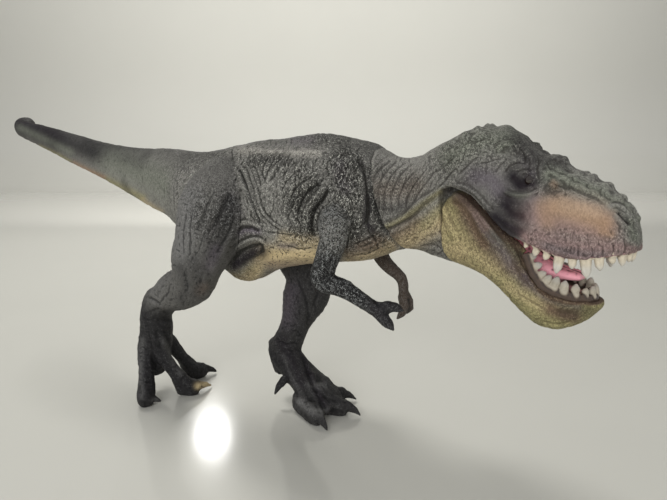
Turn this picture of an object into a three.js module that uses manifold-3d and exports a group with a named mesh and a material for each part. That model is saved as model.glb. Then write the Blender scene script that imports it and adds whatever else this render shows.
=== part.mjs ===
// A toy theropod dinosaur in a striding pose, built as its cast pieces: torso, head, hinged lower
// jaw, tooth rows, tongue, eyes, arms, legs and tail, each plugged or seated in its neighbour.
// Millimetres, X forward, Y to the animal's left, Z up, with the soles on Z = 0.
import * as THREE from 'three';
import { mergeVertices } from 'three/addons/utils/BufferGeometryUtils.js';
import Module from 'manifold-3d';

const wasm = await Module();
wasm.setup();

// Driving dimensions of the body
const hipHeight = 98;
const trunkLength = 100;
const trunkDepth = 60;
const trunkWidth = 50;
const tailLength = 180;
const tailDepth = 40;
const tailWidth = 32;
const neckLean = 18;

// Driving dimensions of the head and mouth
const headLength = 60;
const headDepth = 40;
const headWidth = 34;
const headYaw = 15;
const toothWidth = 3.3;
const toothHeight = 5.4;
const gumWidth = 2.2;
const gumHeight = 2.4;
const tongueWidth = 10;
const eyeDiameter = 4.6;
const pinDiameter = 3;
const pinBite = 3.5;

// Driving dimensions of the limbs
const legDepth = 36;
const legWidth = 25;
const footLength = 36;
const toeWidth = 9;
const toeClawLength = 7.5;
const armLength = 40;
const armWidth = 16;
const fingerWidth = 4.4;

// Plugs that hold the cast pieces together
const legPlugDiameter = 10;
const legPlugLength = 9;
const armPlugDiameter = 6;
const armPlugLength = 6;
const tailPlugDiameter = 13;
const tailPlugLength = 8;
const neckPlugDiameter = 16;
const neckPlugLength = 9;

// Clearances between pieces
const seamGap = 0.3;
const overrun = 1;

// Facets
const bodySides = 20;
const limbSides = 10;
const mouthSides = 16;
const toeSides = 7;
const armSides = 9;
const fingerSides = 6;
const knobSides = 8;
const gumSides = 6;
const toothSides = 5;
const gumSteps = 16;
const roundSides = 16;
const eyeSides = 10;
const weldReach = 1e-4;

const quarterTurn = Math.PI / 2;
const radians = THREE.MathUtils.degToRad;
const point = (x, y, z) => new THREE.Vector3(x, y, z);

// Tables

// Catmull-Rom blend of a table's rows, with the given number of steps from each row to the next.
function refined(rows, steps) {
  const fine = [];
  const last = rows.length - 1;
  for (let row = 0; row < last; row += 1) {
    const around = [row - 1, row, row + 1, row + 2].map((at) => rows[Math.min(Math.max(at, 0), last)]);
    for (let step = 0; step < steps; step += 1) {
      fine.push(rows[row].map((_, column) => blend(around.map((r) => r[column]), step / steps)));
    }
  }
  fine.push(rows[last]);
  return fine;
}

function blend([before, from, to, after], t) {
  const bend = 2 * before - 5 * from + 4 * to - after;
  const curl = 3 * (from - to) + after - before;
  return from + 0.5 * t * (to - before + t * (bend + t * curl));
}

// Lofted skins

const raised = (value, power) => Math.sign(value) * Math.abs(value) ** (2 / power);

// Direction of travel at each station, and the two directions that span its ring.
function framesOf(stations, level) {
  return stations.map((station, index) => {
    const from = stations[Math.max(index - 1, 0)].centre;
    const to = stations[Math.min(index + 1, stations.length - 1)].centre;
    const along = point(to.x - from.x, to.y - from.y, level ? 0 : to.z - from.z).normalize();
    const side = station.side ?? point(0, 1, 0).addScaledVector(along, -along.y).normalize();
    return { side, up: station.up ?? along.clone().cross(side) };
  });
}

// A closed skin over rings: each station has a centre, half sizes above, below and to the sides,
// and the powers that make its upper and lower halves fuller or sharper than an ellipse.
function loft(stations, { sides, level = false, grow = 0 }) {
  const frames = framesOf(stations, level);
  const vertices = [];
  stations.forEach(({ centre, above, below, across, crown = 2, keel = 2 }, ring) => {
    const { side, up } = frames[ring];
    for (let k = 0; k < sides; k += 1) {
      const angle = (2 * Math.PI * k) / sides;
      const lift = Math.sin(angle);
      const power = lift < 0 ? keel : crown;
      const rise = (lift < 0 ? below : above) + grow;
      vertices.push(centre.clone()
        .addScaledVector(side, (across + grow) * raised(Math.cos(angle), power))
        .addScaledVector(up, rise * raised(lift, power)));
    }
  });
  const start = vertices.length;
  const last = stations.length - 1;
  vertices.push(stations[0].centre.clone(), stations[last].centre.clone());
  const faces = [];
  for (let k = 0; k < sides; k += 1) {
    const next = (k + 1) % sides;
    faces.push(start, next, k);
    faces.push(start + 1, last * sides + k, last * sides + next);
    for (let ring = 0; ring < last; ring += 1) {
      const here = ring * sides;
      const there = here + sides;
      faces.push(here + k, here + next, there + next, here + k, there + next, there + k);
    }
  }
  return meshOf(vertices, faces);
}

function meshOf(vertices, faces) {
  const geometry = new THREE.BufferGeometry();
  geometry.setAttribute('position', new THREE.Float32BufferAttribute(vertices.flatMap((v) => v.toArray()), 3));
  geometry.setIndex(faces);
  return geometry;
}

const domeShares = [0.75];

// Adds rings that round off both ends of a limb.
function domed(stations) {
  const capOf = (end, inner) => {
    const out = end.centre.clone().sub(inner.centre).normalize();
    const radius = Math.min(end.above, end.below, end.across);
    return domeShares.map((lift) => {
      const shrink = Math.sqrt(1 - lift * lift);
      return {
        ...end,
        centre: end.centre.clone().addScaledVector(out, radius * lift),
        above: end.above * shrink,
        below: end.below * shrink,
        across: end.across * shrink,
      };
    });
  };
  const last = stations.length - 1;
  const head = capOf(stations[0], stations[1]).reverse();
  return [...head, ...stations, ...capOf(stations[last], stations[last - 1])];
}

// Solids

function solidOf(geometry) {
  const bare = geometry.clone();
  bare.deleteAttribute('normal');
  bare.deleteAttribute('uv');
  const merged = mergeVertices(bare, weldReach);
  return new wasm.Manifold(new wasm.Mesh({
    numProp: 3,
    vertProperties: merged.attributes.position.array,
    triVerts: new Uint32Array(merged.index.array),
  }));
}

function geometryOf(solid) {
  const { vertProperties, triVerts } = solid.getMesh();
  const geometry = new THREE.BufferGeometry();
  geometry.setAttribute('position', new THREE.BufferAttribute(new Float32Array(vertProperties), 3));
  geometry.setIndex(new THREE.BufferAttribute(new Uint32Array(triVerts), 1));
  return geometry;
}

const joined = (solids) => solids.reduce((whole, solid) => whole.add(solid));

// A round bar between two points.
function bar(from, to, diameter) {
  const axis = to.clone().sub(from);
  const geometry = new THREE.CylinderGeometry(diameter / 2, diameter / 2, axis.length(), roundSides);
  geometry.applyQuaternion(new THREE.Quaternion().setFromUnitVectors(point(0, 1, 0), axis.clone().normalize()));
  const middle = from.clone().add(to).multiplyScalar(1 / 2);
  return solidOf(geometry.translate(middle.x, middle.y, middle.z));
}

function ball(centre, reach, sides) {
  const geometry = new THREE.SphereGeometry(1, sides, sides / 2);
  geometry.scale(reach.x, reach.y, reach.z);
  return solidOf(geometry.translate(centre.x, centre.y, centre.z));
}

// A straight prism across Y over a side outline of [forward, up] points.
function sideCut(outline, halfWidth, matrix) {
  const shape = new THREE.Shape(outline.map(([x, z]) => new THREE.Vector2(x, z)));
  const geometry = new THREE.ExtrudeGeometry(shape, { depth: 2 * halfWidth, bevelEnabled: false });
  geometry.rotateX(quarterTurn);
  geometry.translate(0, halfWidth, 0);
  return solidOf(geometry.applyMatrix4(matrix));
}

// Frames of the pieces that are turned against the body

// Rear top corner of the jaw: ahead of the hips, to the left, above them
const hingeShares = [0.992, -0.076, 0.15];
const onTrunk = ([ahead, left, rise]) => point(ahead * trunkLength, left * trunkWidth, hipHeight + rise * trunkDepth);
const hingeAt = onTrunk(hingeShares);
const headFrame = new THREE.Matrix4()
  .makeRotationZ(-radians(headYaw))
  .setPosition(hingeAt);
const inHead = (x, y, z) => point(x, y, z).applyMatrix4(headFrame);

// Body skin: one run of rings from the tip of the tail to the snout

// Behind the tail seam, to the left, above the hips, half depth, half width
const tailShares = [
  [1.042, 0.183, 0.755, 0.022, 0.024],
  [1.03, 0.170, 0.750, 0.050, 0.056],
  [0.985, 0.122, 0.728, 0.080, 0.088],
  [0.92, 0.070, 0.690, 0.105, 0.116],
  [0.84, 0.026, 0.632, 0.127, 0.138],
  [0.694, 0.003, 0.548, 0.155, 0.172],
  [0.544, 0, 0.432, 0.198, 0.216],
  [0.400, 0, 0.323, 0.235, 0.256],
  [0.272, 0, 0.232, 0.297, 0.312],
  [0.172, 0, 0.165, 0.372, 0.381],
  [0.089, 0, 0.123, 0.430, 0.456],
];
// Ahead of the hips, back above the hips, belly above the hips, half width, crown, keel
const trunkShares = [
  [-0.28, 0.383, -0.317, 0.35, 2, 2],
  [-0.13, 0.397, -0.483, 0.39, 2, 1.9],
  [-0.01, 0.433, -0.575, 0.41, 2, 1.7],
  [0.11, 0.460, -0.525, 0.43, 2, 1.9],
  [0.26, 0.475, -0.447, 0.47, 2, 2.2],
  [0.43, 0.503, -0.383, 0.496, 2, 2.3],
  [0.55, 0.467, -0.358, 0.48, 2.1, 2.3],
  [0.65, 0.430, -0.333, 0.43, 2.1, 2.2],
  [0.74, 0.350, -0.267, 0.36, 2, 2],
  [0.81, 0.337, -0.233, 0.32, 2, 2],
  [0.88, 0.370, -0.242, 0.304, 2, 2],
];
// Ahead of the jaw's rear edge, crest, throat, half width, crown, keel, height of the widest line
const skullShares = [
  [-0.067, 0.405, -0.625, 0.47, 2.1, 1.9, 0.6],
  [0.1, 0.505, -0.662, 0.49, 2.2, 1.9, 0.7],
  [0.2, 0.530, -0.700, 0.5, 2.3, 2.2, 0.72],
  [0.317, 0.510, -0.700, 0.482, 2.3, 2.5, 0.66],
  [0.383, 0.460, -0.700, 0.465, 2.3, 3, 0.6],
  [0.45, 0.370, -0.680, 0.441, 2.4, 3.2, 0.5],
  [0.533, 0.300, -0.650, 0.418, 2.4, 3.6, 0.42],
  [0.633, 0.230, -0.630, 0.4, 2.3, 4, 0.4],
  [0.75, 0.148, -0.620, 0.388, 2.3, 4, 0.38],
  [0.833, 0.080, -0.600, 0.353, 2.2, 3.8, 0.36],
  [0.9, -0.015, -0.570, 0.288, 2.2, 3.4, 0.36],
  [0.95, -0.115, -0.530, 0.212, 2.2, 3, 0.38],
  [0.983, -0.225, -0.480, 0.118, 2.2, 2.6, 0.4],
];
const trunkBelt = 0.5;
const tailSeam = -0.26 * trunkLength;
const neckSeam = 0.74 * trunkLength;
const neckSeamRise = 0.08 * trunkDepth;
const tailPlugRise = 0.05 * trunkDepth;
const skinSteps = 2;

function bodyStations() {
  const tail = tailShares.map(([back, left, rise, deep, wide]) => {
    const height = hipHeight + rise * trunkDepth;
    const half = deep * tailDepth;
    return [tailSeam - back * tailLength, left * tailLength, height + half, height - half, wide * tailWidth, 2, 2, trunkBelt];
  });
  const trunk = trunkShares.map(([ahead, back, belly, wide, crown, keel]) => [ahead * trunkLength, 0,
    hipHeight + back * trunkDepth, hipHeight + belly * trunkDepth, wide * trunkWidth, crown, keel, trunkBelt]);
  const skull = skullShares.map(([ahead, crest, throat, wide, ...shape]) => {
    const { x, y, z } = inHead(ahead * headLength, 0, 0);
    return [x, y, z + crest * headDepth, z + throat * headDepth, wide * headWidth, ...shape];
  });
  return refined([...tail, ...trunk, ...skull], skinSteps).map(([x, y, top, bottom, across, crown, keel, share]) => {
    const belt = bottom + share * (top - bottom);
    return { centre: point(x, y, belt), above: top - belt, below: belt - bottom, across, crown, keel };
  });
}

const bodySkin = (grow) => solidOf(loft(bodyStations(), { sides: bodySides, level: true, grow }));
const skin = bodySkin(0);
const skinGrown = bodySkin(seamGap);

// A block that reaches past the whole figure, ahead of or behind a seam that leans back.
function blockBeyond(seam, rise, lean, ahead) {
  const reach = tailLength + trunkLength + headLength;
  const side = ahead ? 1 : -1;
  const geometry = new THREE.BoxGeometry(reach, reach, 2 * reach);
  geometry.translate(side * (reach / 2 + seamGap / 2), 0, 0);
  geometry.rotateY(-radians(lean));
  return solidOf(geometry.translate(seam, 0, hipHeight + rise));
}

// Plugs and their sockets

const grownBy = 2 * seamGap;

function plug(from, to, diameter) {
  const tip = to.clone().sub(from).normalize();
  return {
    peg: bar(from, to, diameter),
    socket: bar(from, to.clone().addScaledVector(tip, seamGap), diameter + grownBy),
  };
}

const neckMid = point(neckSeam, 0, hipHeight + neckSeamRise);
const neckPlug = plug(neckMid.clone().add(point(neckPlugLength / 2, 0, 0)),
  neckMid.clone().sub(point(neckPlugLength, 0, 0)), neckPlugDiameter);
const tailMid = point(tailSeam, 0, hipHeight + tailPlugRise);
const tailPlug = plug(tailMid.clone().sub(point(tailPlugLength / 2, 0, 0)),
  tailMid.clone().add(point(tailPlugLength, 0, 0)), tailPlugDiameter);
const seatAt = ([ahead, out, rise], sign) => onTrunk([ahead, sign * out, rise]);
const sidePlug = (shares, sign, length, diameter) => {
  const seat = seatAt(shares, sign);
  return plug(seat.clone().add(point(0, sign * overrun, 0)),
    seat.clone().sub(point(0, sign * length, 0)), diameter);
};
const hipShares = [0, 0.4, 0];
const shoulderShares = [0.6, 0.44, -0.06];
const legPlug = (sign) => sidePlug(hipShares, sign, legPlugLength, legPlugDiameter);
const armPlug = (sign) => sidePlug(shoulderShares, sign, armPlugLength, armPlugDiameter);
const rightSign = -1;
const leftSign = 1;

// Torso

function torso() {
  const cut = skin
    .intersect(blockBeyond(tailSeam, 0, 0, true))
    .intersect(blockBeyond(neckSeam, neckSeamRise, neckLean, false));
  return [legPlug(leftSign), legPlug(rightSign), armPlug(leftSign), armPlug(rightSign), tailPlug, neckPlug]
    .reduce((solid, { socket }) => solid.subtract(socket), cut);
}

// Tail

const tail = () => skin.intersect(blockBeyond(tailSeam, 0, 0, false)).add(tailPlug.peg);

// Legs

// Ahead of the hip, out from the middle, below the hip, half depth front and back, half width
const rightThighShares = [
  [0, 0.153, -0.163, 0.222, 0.222, 0.2],
  [0, 0.179, -0.082, 0.417, 0.417, 0.4],
  [-0.005, 0.199, 0.02, 0.486, 0.5, 0.5],
  [-0.036, 0.214, 0.143, 0.403, 0.431, 0.5],
  [-0.077, 0.23, 0.245, 0.333, 0.347, 0.46],
  [-0.087, 0.235, 0.317, 0.27, 0.28, 0.4],
  [-0.09, 0.235, 0.362, 0.2, 0.2, 0.32],
];
const rightShankShares = [
  [-0.045, 0.235, 0.305, 0.19, 0.19, 0.3],
  [-0.102, 0.231, 0.345, 0.25, 0.25, 0.368],
  [-0.214, 0.214, 0.4, 0.255, 0.294, 0.368],
  [-0.327, 0.194, 0.464, 0.165, 0.256, 0.32],
  [-0.41, 0.176, 0.526, 0.175, 0.19, 0.28],
  [-0.45, 0.163, 0.571, 0.139, 0.11, 0.2],
];
const rightInstepShares = [
  [-0.439, 0.173, 0.469, 0.139, 0.139, 0.2],
  [-0.455, 0.169, 0.541, 0.26, 0.16, 0.28],
  [-0.475, 0.153, 0.633, 0.27, 0.19, 0.3],
  [-0.51, 0.135, 0.735, 0.25, 0.19, 0.34],
  [-0.53, 0.13, 0.84, 0.22, 0.2, 0.34],
];
const leftThighShares = [
  [0.01, 0.153, -0.153, 0.222, 0.222, 0.2],
  [0.015, 0.179, -0.071, 0.417, 0.417, 0.4],
  [0.031, 0.199, 0.031, 0.486, 0.486, 0.5],
  [0.092, 0.214, 0.163, 0.417, 0.431, 0.492],
  [0.173, 0.219, 0.276, 0.347, 0.361, 0.456],
  [0.224, 0.214, 0.367, 0.311, 0.322, 0.424],
  [0.255, 0.209, 0.418, 0.222, 0.222, 0.32],
];
const leftShankShares = [
  [0.265, 0.209, 0.337, 0.222, 0.222, 0.32],
  [0.23, 0.204, 0.408, 0.317, 0.317, 0.4],
  [0.194, 0.194, 0.5, 0.306, 0.317, 0.376],
  [0.156, 0.184, 0.609, 0.194, 0.2, 0.28],
  [0.112, 0.177, 0.714, 0.206, 0.211, 0.272],
  [0.087, 0.173, 0.786, 0.194, 0.239, 0.264],
  [0.077, 0.171, 0.847, 0.128, 0.139, 0.184],
];
const leftInstepShares = [
  [0.041, 0.178, 0.735, 0.125, 0.125, 0.18],
  [0.087, 0.173, 0.776, 0.222, 0.206, 0.272],
  [0.163, 0.159, 0.833, 0.211, 0.194, 0.288],
  [0.24, 0.143, 0.88, 0.206, 0.183, 0.336],
  [0.316, 0.129, 0.914, 0.194, 0.194, 0.384],
  [0.388, 0.118, 0.945, 0.15, 0.167, 0.36],
];
const limbSteps = 2;

function limb(rows, sign) {
  const stations = refined(rows, limbSteps).map(([ahead, out, down, front, back, wide]) => ({
    centre: point(ahead * hipHeight, sign * out * hipHeight, hipHeight - down * hipHeight),
    above: front * legDepth,
    below: back * legDepth,
    across: wide * legWidth,
  }));
  return solidOf(loft(domed(stations), { sides: limbSides }));
}

// Along a toe: share of its length, then its height and half sizes above, below and to the sides
// in toe widths
const flatToeShares = [
  [-0.1, 0.7, 0.46, 0.8, 0.46],
  [0.2, 0.62, 0.5, 0.72, 0.5],
  [0.42, 0.5, 0.43, 0.6, 0.43],
  [0.62, 0.54, 0.48, 0.64, 0.48],
  [0.9, 0.4, 0.4, 0.5, 0.4],
];
const archedToeShares = [
  [0, 3, 0.4, 0.4, 0.44],
  [0.2, 2.2, 0.4, 0.36, 0.42],
  [0.42, 1.4, 0.4, 0.3, 0.42],
  [0.72, 0.62, 0.44, 0.72, 0.5],
  [0.95, 0.46, 0.42, 0.56, 0.44],
];
// Along a claw: share of its length, height, half depth and half width in toe widths
const clawShares = [
  [-0.3, 0.4, 0.3, 0.24],
  [0.2, 0.46, 0.26, 0.21],
  [0.65, 0.32, 0.16, 0.13],
  [1, 0.1, 0.05, 0.04],
];

const padFullness = 3;

const squareTurn = 90;
const heading = (turn) => point(Math.cos(radians(turn)), Math.sin(radians(turn)), 0);

// One toe from its root on the foot, flat under its pads, with its claw.
function toe({ root, yaw, clawYaw, length, width, claw, shares }) {
  const [forward, onward] = [yaw, clawYaw].map(heading);
  const [side, nailSide] = [yaw, clawYaw].map((turn) => heading(turn + squareTurn));
  const end = root.clone().addScaledVector(forward, length);
  const pads = shares.map(([along, rise, above, below, wide]) => ({
    centre: root.clone().addScaledVector(forward, along * length).setZ(rise * width),
    above: above * width,
    below: below * width,
    across: wide * width,
    keel: padFullness,
    side,
  }));
  const nail = clawShares.map(([along, rise, deep, wide]) => ({
    centre: end.clone().addScaledVector(onward, along * claw).setZ(rise * width),
    above: deep * width,
    below: deep * width,
    across: wide * width,
    side: nailSide,
  }));
  return solidOf(loft(domed(pads), { sides: toeSides })).add(solidOf(loft(nail, { sides: toeSides })));
}

// Root of each toe ahead of the end of the leg and out from it, and the headings of toe and claw
const rightToes = [
  { rootShares: [0.05, 0.15], yaw: -48, clawYaw: 64, shares: archedToeShares },
  { rootShares: [0.2, 0.09], yaw: 36, clawYaw: 84, shares: archedToeShares },
  { rootShares: [0.06, -0.2], yaw: 70, clawYaw: 58, shares: archedToeShares },
];
const leftToes = [
  { rootShares: [-0.308, -0.169], yaw: -28, clawYaw: -28, shares: flatToeShares },
  { rootShares: [-0.226, -0.035], yaw: 10, clawYaw: 10, shares: flatToeShares },
  { rootShares: [-0.308, 0.142], yaw: 34, clawYaw: 34, shares: flatToeShares },
];
// Size of each toe: share of the foot's length, share of the toe width and share of the claw length
const rightToeSizeShares = [
  [0.38, 1, 1],
  [0.5, 0.96, 1.3],
  [0.54, 1, 1],
];
const leftToeSizeShares = [
  [0.42, 1, 1],
  [0.45, 1.1, 1],
  [0.36, 1, 1],
];
const rightSpur = { rootShares: [0, -0.15], yaw: 150, heightShare: 0.62 };
const leftSpur = { rootShares: [-0.566, -0.008], yaw: -120, heightShare: 0.38 };
const spurLengthShare = 0.27;
// Along the spur: share of its length, rise in its lengths, half thickness in toe widths
const spurShares = [
  [-0.4, 0.2, 0.3],
  [0.2, 0.1, 0.3],
  [0.5, -0.1, 0.24],
  [0.8, -0.4, 0.16],
  [1, -0.75, 0.05],
];

function foot({ sign, legRows, toes, toeSizes, spur }) {
  const [ballAhead, ballOut] = legRows.at(-1).at(-1);
  const onFoot = ([ahead, out], height) => point(ballAhead * hipHeight + ahead * footLength,
    sign * (ballOut * hipHeight + out * footLength), height);
  const digits = toes.map(({ rootShares, ...way }, index) => {
    const [lengthShare, widthShare, clawShare] = toeSizes[index];
    return toe({
      ...way,
      root: onFoot(rootShares, 0),
      length: lengthShare * footLength,
      width: widthShare * toeWidth,
      claw: clawShare * toeClawLength,
    });
  });
  return joined([...digits, spurOf(onFoot(spur.rootShares, spur.heightShare * footLength), spur.yaw)]);
}

// The small raised first toe behind the foot, with its claw.
function spurOf(root, yaw) {
  const forward = heading(yaw);
  const length = spurLengthShare * footLength;
  const stations = spurShares.map(([along, rise, half]) => ({
    centre: root.clone().addScaledVector(forward, along * length).add(point(0, 0, rise * length)),
    above: half * toeWidth,
    below: half * toeWidth,
    across: half * toeWidth,
  }));
  return solidOf(loft(stations, { sides: toeSides }));
}

function leg(flank) {
  const flesh = joined(flank.legRows.map((rows) => limb(rows, flank.sign)));
  return joined([flesh, foot(flank)])
    .subtract(skinGrown)
    .intersect(blockAboveFloor())
    .add(legPlug(flank.sign).peg);
}

function blockAboveFloor() {
  const reach = 2 * (tailLength + trunkLength + headLength);
  return solidOf(new THREE.BoxGeometry(reach, reach, reach).translate(0, 0, reach / 2));
}

// Arms

// Ahead of the shoulder, out from it, below it, half thickness, half width
const rightArmShares = [
  [-0.04, -0.1, -0.16, 0.3, 0.3],
  [0, 0, 0, 0.4, 0.36],
  [0.02, 0.05, 0.14, 0.32, 0.3],
  [-0.05, 0.075, 0.36, 0.28, 0.28],
  [-0.09, 0.08, 0.51, 0.26, 0.26],
  [0.02, 0.08, 0.55, 0.23, 0.23],
  [0.155, 0.075, 0.575, 0.21, 0.21],
  [0.375, 0.055, 0.69, 0.16, 0.16],
  [0.47, 0.05, 0.73, 0.15, 0.18],
  [0.52, 0.05, 0.735, 0.12, 0.14],
];
const rightFingers = [
  [[0.48, 0.03, 0.71], [0.57, 0.03, 0.69], [0.65, 0.03, 0.69], [0.71, 0.03, 0.71]],
  [[0.47, 0.06, 0.74], [0.54, 0.06, 0.8], [0.59, 0.06, 0.84], [0.63, 0.05, 0.89]],
];
const leftArmShares = [
  [-0.04, -0.1, -0.16, 0.3, 0.3],
  [0, 0, 0, 0.4, 0.36],
  [-0.03, 0.02, 0.15, 0.32, 0.3],
  [-0.06, 0, 0.34, 0.27, 0.27],
  [0, -0.05, 0.48, 0.22, 0.22],
  [0.1, -0.1, 0.56, 0.18, 0.18],
  [0.265, -0.125, 0.67, 0.145, 0.145],
  [0.3, -0.14, 0.79, 0.13, 0.15],
  [0.31, -0.15, 0.87, 0.11, 0.13],
];
const leftFingers = [
  [[0.3, -0.16, 0.85], [0.33, -0.17, 0.96], [0.3, -0.17, 1.05], [0.24, -0.17, 1.12]],
  [[0.31, -0.12, 0.84], [0.35, -0.1, 0.93], [0.36, -0.09, 1], [0.32, -0.09, 1.07]],
];
const fingerTaperShares = [0.5, 0.5, 0.4, 0.1];

function arm({ sign, armRows, fingers }) {
  const seat = seatAt(shoulderShares, sign);
  const at = (ahead, out, down) => point(ahead * armLength, sign * out * armLength, -down * armLength).add(seat);
  const flesh = refined(armRows, limbSteps).map(([ahead, out, down, thick, wide]) => ({
    centre: at(ahead, out, down),
    above: thick * armWidth,
    below: thick * armWidth,
    across: wide * armWidth,
  }));
  const digits = fingers.map((line) => line.map((place, index) => ({
    centre: at(...place),
    above: fingerTaperShares[index] * fingerWidth,
    below: fingerTaperShares[index] * fingerWidth,
    across: fingerTaperShares[index] * fingerWidth,
  })));
  return joined([
    solidOf(loft(domed(flesh), { sides: armSides })),
    ...digits.map((digit) => solidOf(loft(digit, { sides: fingerSides }))),
  ]).subtract(skinGrown).add(armPlug(sign).peg);
}

// Mouth outlines in the head's frame, as shares of its length, depth and width

// Edge of the cheek and upper lip, from behind the jaw to the tip of the snout: ahead, up
const lipShares = [
  [0.043, -0.06],
  [0.06, 0.02],
  [0.12, 0.055],
  [0.2, 0.025],
  [0.27, -0.025],
  [0.34, -0.13],
  [0.42, -0.25],
  [0.5, -0.325],
  [0.6, -0.375],
  [0.7, -0.425],
  [0.78, -0.428],
  [0.88, -0.405],
  [0.96, -0.38],
  [1.1, -0.37],
];
// Throat behind the jaw, and a corner below and ahead of the chin: ahead, up
const throatShares = [
  [1.1, -1.2],
  [0.043, -1.2],
];
// Inside the cheeks, where the jaw swings up: ahead, bottom, top, half width
const cheekRoomShares = [
  [0.038, -0.7, 0, 0.41],
  [0.06, -0.7, 0.07, 0.435],
  [0.14, -0.7, 0.1, 0.437],
  [0.24, -0.7, 0.09, 0.432],
  [0.36, -0.7, 0.02, 0.408],
  [0.46, -0.7, -0.07, 0.368],
  [0.54, -0.7, -0.16, 0.335],
  [0.6, -0.7, -0.24, 0.32],
  [0.65, -0.7, -0.34, 0.31],
];
// Palate vault between the upper tooth rows: ahead, bottom, top, half width
const palateShares = [
  [0.4, -0.75, -0.16, 0.3],
  [0.52, -0.75, -0.2, 0.295],
  [0.65, -0.75, -0.25, 0.28],
  [0.78, -0.75, -0.28, 0.25],
  [0.87, -0.75, -0.3, 0.18],
  [0.9, -0.75, -0.31, 0.12],
];
// Block of the head between the jaw's sides, which carries the pin: ahead, up
const hingeBlockShares = [
  [-0.06, 0.16],
  [-0.06, -0.24],
  [0.1, -0.235],
  [0.16, -0.215],
  [0.2, -0.17],
  [0.215, -0.1],
  [0.215, 0.16],
];
const hingeBlockHalf = 0.22 * headWidth;
const pinLength = 2 * (hingeBlockHalf + pinBite);
// Lower jaw: ahead, underside, upper edge, half width
const jawShares = [
  [0.052, -0.62, -0.04, 0.4],
  [0.1, -0.64, 0.025, 0.412],
  [0.183, -0.665, 0.025, 0.414],
  [0.267, -0.71, -0.04, 0.404],
  [0.333, -0.76, -0.155, 0.384],
  [0.4, -0.835, -0.245, 0.36],
  [0.467, -0.93, -0.307, 0.337],
  [0.517, -0.985, -0.39, 0.316],
  [0.55, -1.015, -0.515, 0.306],
  [0.6, -1.032, -0.65, 0.297],
  [0.667, -1.03, -0.7, 0.276],
  [0.733, -0.985, -0.715, 0.247],
  [0.792, -0.92, -0.735, 0.2],
  [0.833, -0.84, -0.76, 0.13],
  [0.848, -0.81, -0.775, 0.06],
];
// Hollow between the jaw's sides: ahead, floor, top, half width
const gulletShares = [
  [-0.1, -0.4, 0.3, 0.25],
  [0.1, -0.45, 0.3, 0.26],
  [0.3, -0.55, 0.2, 0.27],
  [0.45, -0.68, 0, 0.26],
  [0.55, -0.8, -0.2, 0.23],
  [0.65, -0.84, -0.4, 0.19],
  [0.75, -0.84, -0.5, 0.13],
];
// Tongue: ahead, underside, upper side in head depths, half width in tongue widths
const tongueShares = [
  [0.18, -0.9, -0.26, 0.42],
  [0.3, -0.9, -0.28, 0.52],
  [0.43, -0.9, -0.34, 0.54],
  [0.55, -0.68, -0.465, 0.52],
  [0.65, -0.645, -0.54, 0.46],
  [0.73, -0.63, -0.565, 0.34],
  [0.77, -0.625, -0.595, 0.18],
];
// Right half of the upper and lower tooth rows, rear to front: ahead, out, up
const upperRowShares = [
  [0.52, 0.362, -0.31],
  [0.61, 0.35, -0.352],
  [0.7, 0.338, -0.39],
  [0.79, 0.315, -0.392],
  [0.87, 0.26, -0.375],
  [0.935, 0.155, -0.352],
  [0.958, 0, -0.345],
];
const lowerRowShares = [
  [0.515, 0.272, -0.44],
  [0.545, 0.266, -0.535],
  [0.585, 0.258, -0.64],
  [0.645, 0.238, -0.7],
  [0.71, 0.212, -0.722],
  [0.765, 0.165, -0.738],
  [0.8, 0.085, -0.752],
  [0.81, 0, -0.757],
];
// Height of each tooth from the rear of a row to its front
const upperToothShares = [0.3, 0.5, 0.45, 0.95, 0.55, 1, 0.65, 0.4, 0.6, 0.5];
const lowerToothShares = [0.3, 0.4, 0.42, 0.5, 0.66, 0.55, 0.5, 0.4, 0.5];

// How full the rings of each shape are above and below, from an ellipse toward a box
const cheekRoomFullness = { crown: 6, keel: 6 };
const palateFullness = { crown: 4, keel: 6 };
const jawFullness = { crown: 4, keel: 2.4 };
const gulletFullness = { crown: 2, keel: 2.6 };
const tongueFullness = { crown: 2.2, keel: 2.6 };

const jawHingeShares = [0.133, 0, -0.1];
const eyeShares = [0.527, 0.302, 0.117];
const nostrilShares = [0.91, 0.245, -0.09];
const nostrilReachShares = [0.04, 0.03, 0.03];
// Knobs over and ahead of the eye: ahead, out, up, then reach along, across and up
const knobShares = [
  [0.515, 0.2, 0.2, 0.09, 0.1, 0.085],
  [0.49, 0.285, 0.2, 0.1, 0.06, 0.05],
  [0.645, 0.29, 0.09, 0.04, 0.07, 0.05],
];

const headPlace = ([ahead, out, up], sign) =>
  inHead(ahead * headLength, sign * out * headWidth, up * headDepth);
const headReach = ([along, across, up]) => point(along * headLength, across * headWidth, up * headDepth);
const headOutline = (outline) => outline.map(([ahead, up]) => [ahead * headLength, up * headDepth]);

// A loft along the head from rows of ahead, bottom, top and half width.
function headLoft(rows, width, options) {
  const { sides, crown, keel, grow, steps = 1 } = options;
  const stations = refined(rows, steps).map(([ahead, bottom, top, half]) => ({
    centre: point(ahead * headLength, 0, ((top + bottom) / 2) * headDepth),
    above: ((top - bottom) / 2) * headDepth,
    below: ((top - bottom) / 2) * headDepth,
    across: half * width,
    crown,
    keel,
  }));
  return solidOf(loft(stations, { sides, level: true, grow }).applyMatrix4(headFrame));
}

// Jaw pin

const hingeMid = headPlace(jawHingeShares, leftSign);
const lateral = point(0, 1, 0).applyAxisAngle(point(0, 0, 1), -radians(headYaw));
const pinBar = (half, diameter) => bar(hingeMid.clone().addScaledVector(lateral, -half),
  hingeMid.clone().addScaledVector(lateral, half), diameter);
const pinHole = pinBar(pinLength / 2 + seamGap, pinDiameter + 2 * seamGap);

// Teeth

// The whole row, mirrored, as a curve from the rear right to the rear left.
function rowCurve(rows) {
  const right = rows.map((row) => headPlace(row, rightSign));
  const left = rows.slice(0, -1).reverse().map((row) => headPlace(row, leftSign));
  return new THREE.CatmullRomCurve3([...right, ...left]);
}

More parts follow.
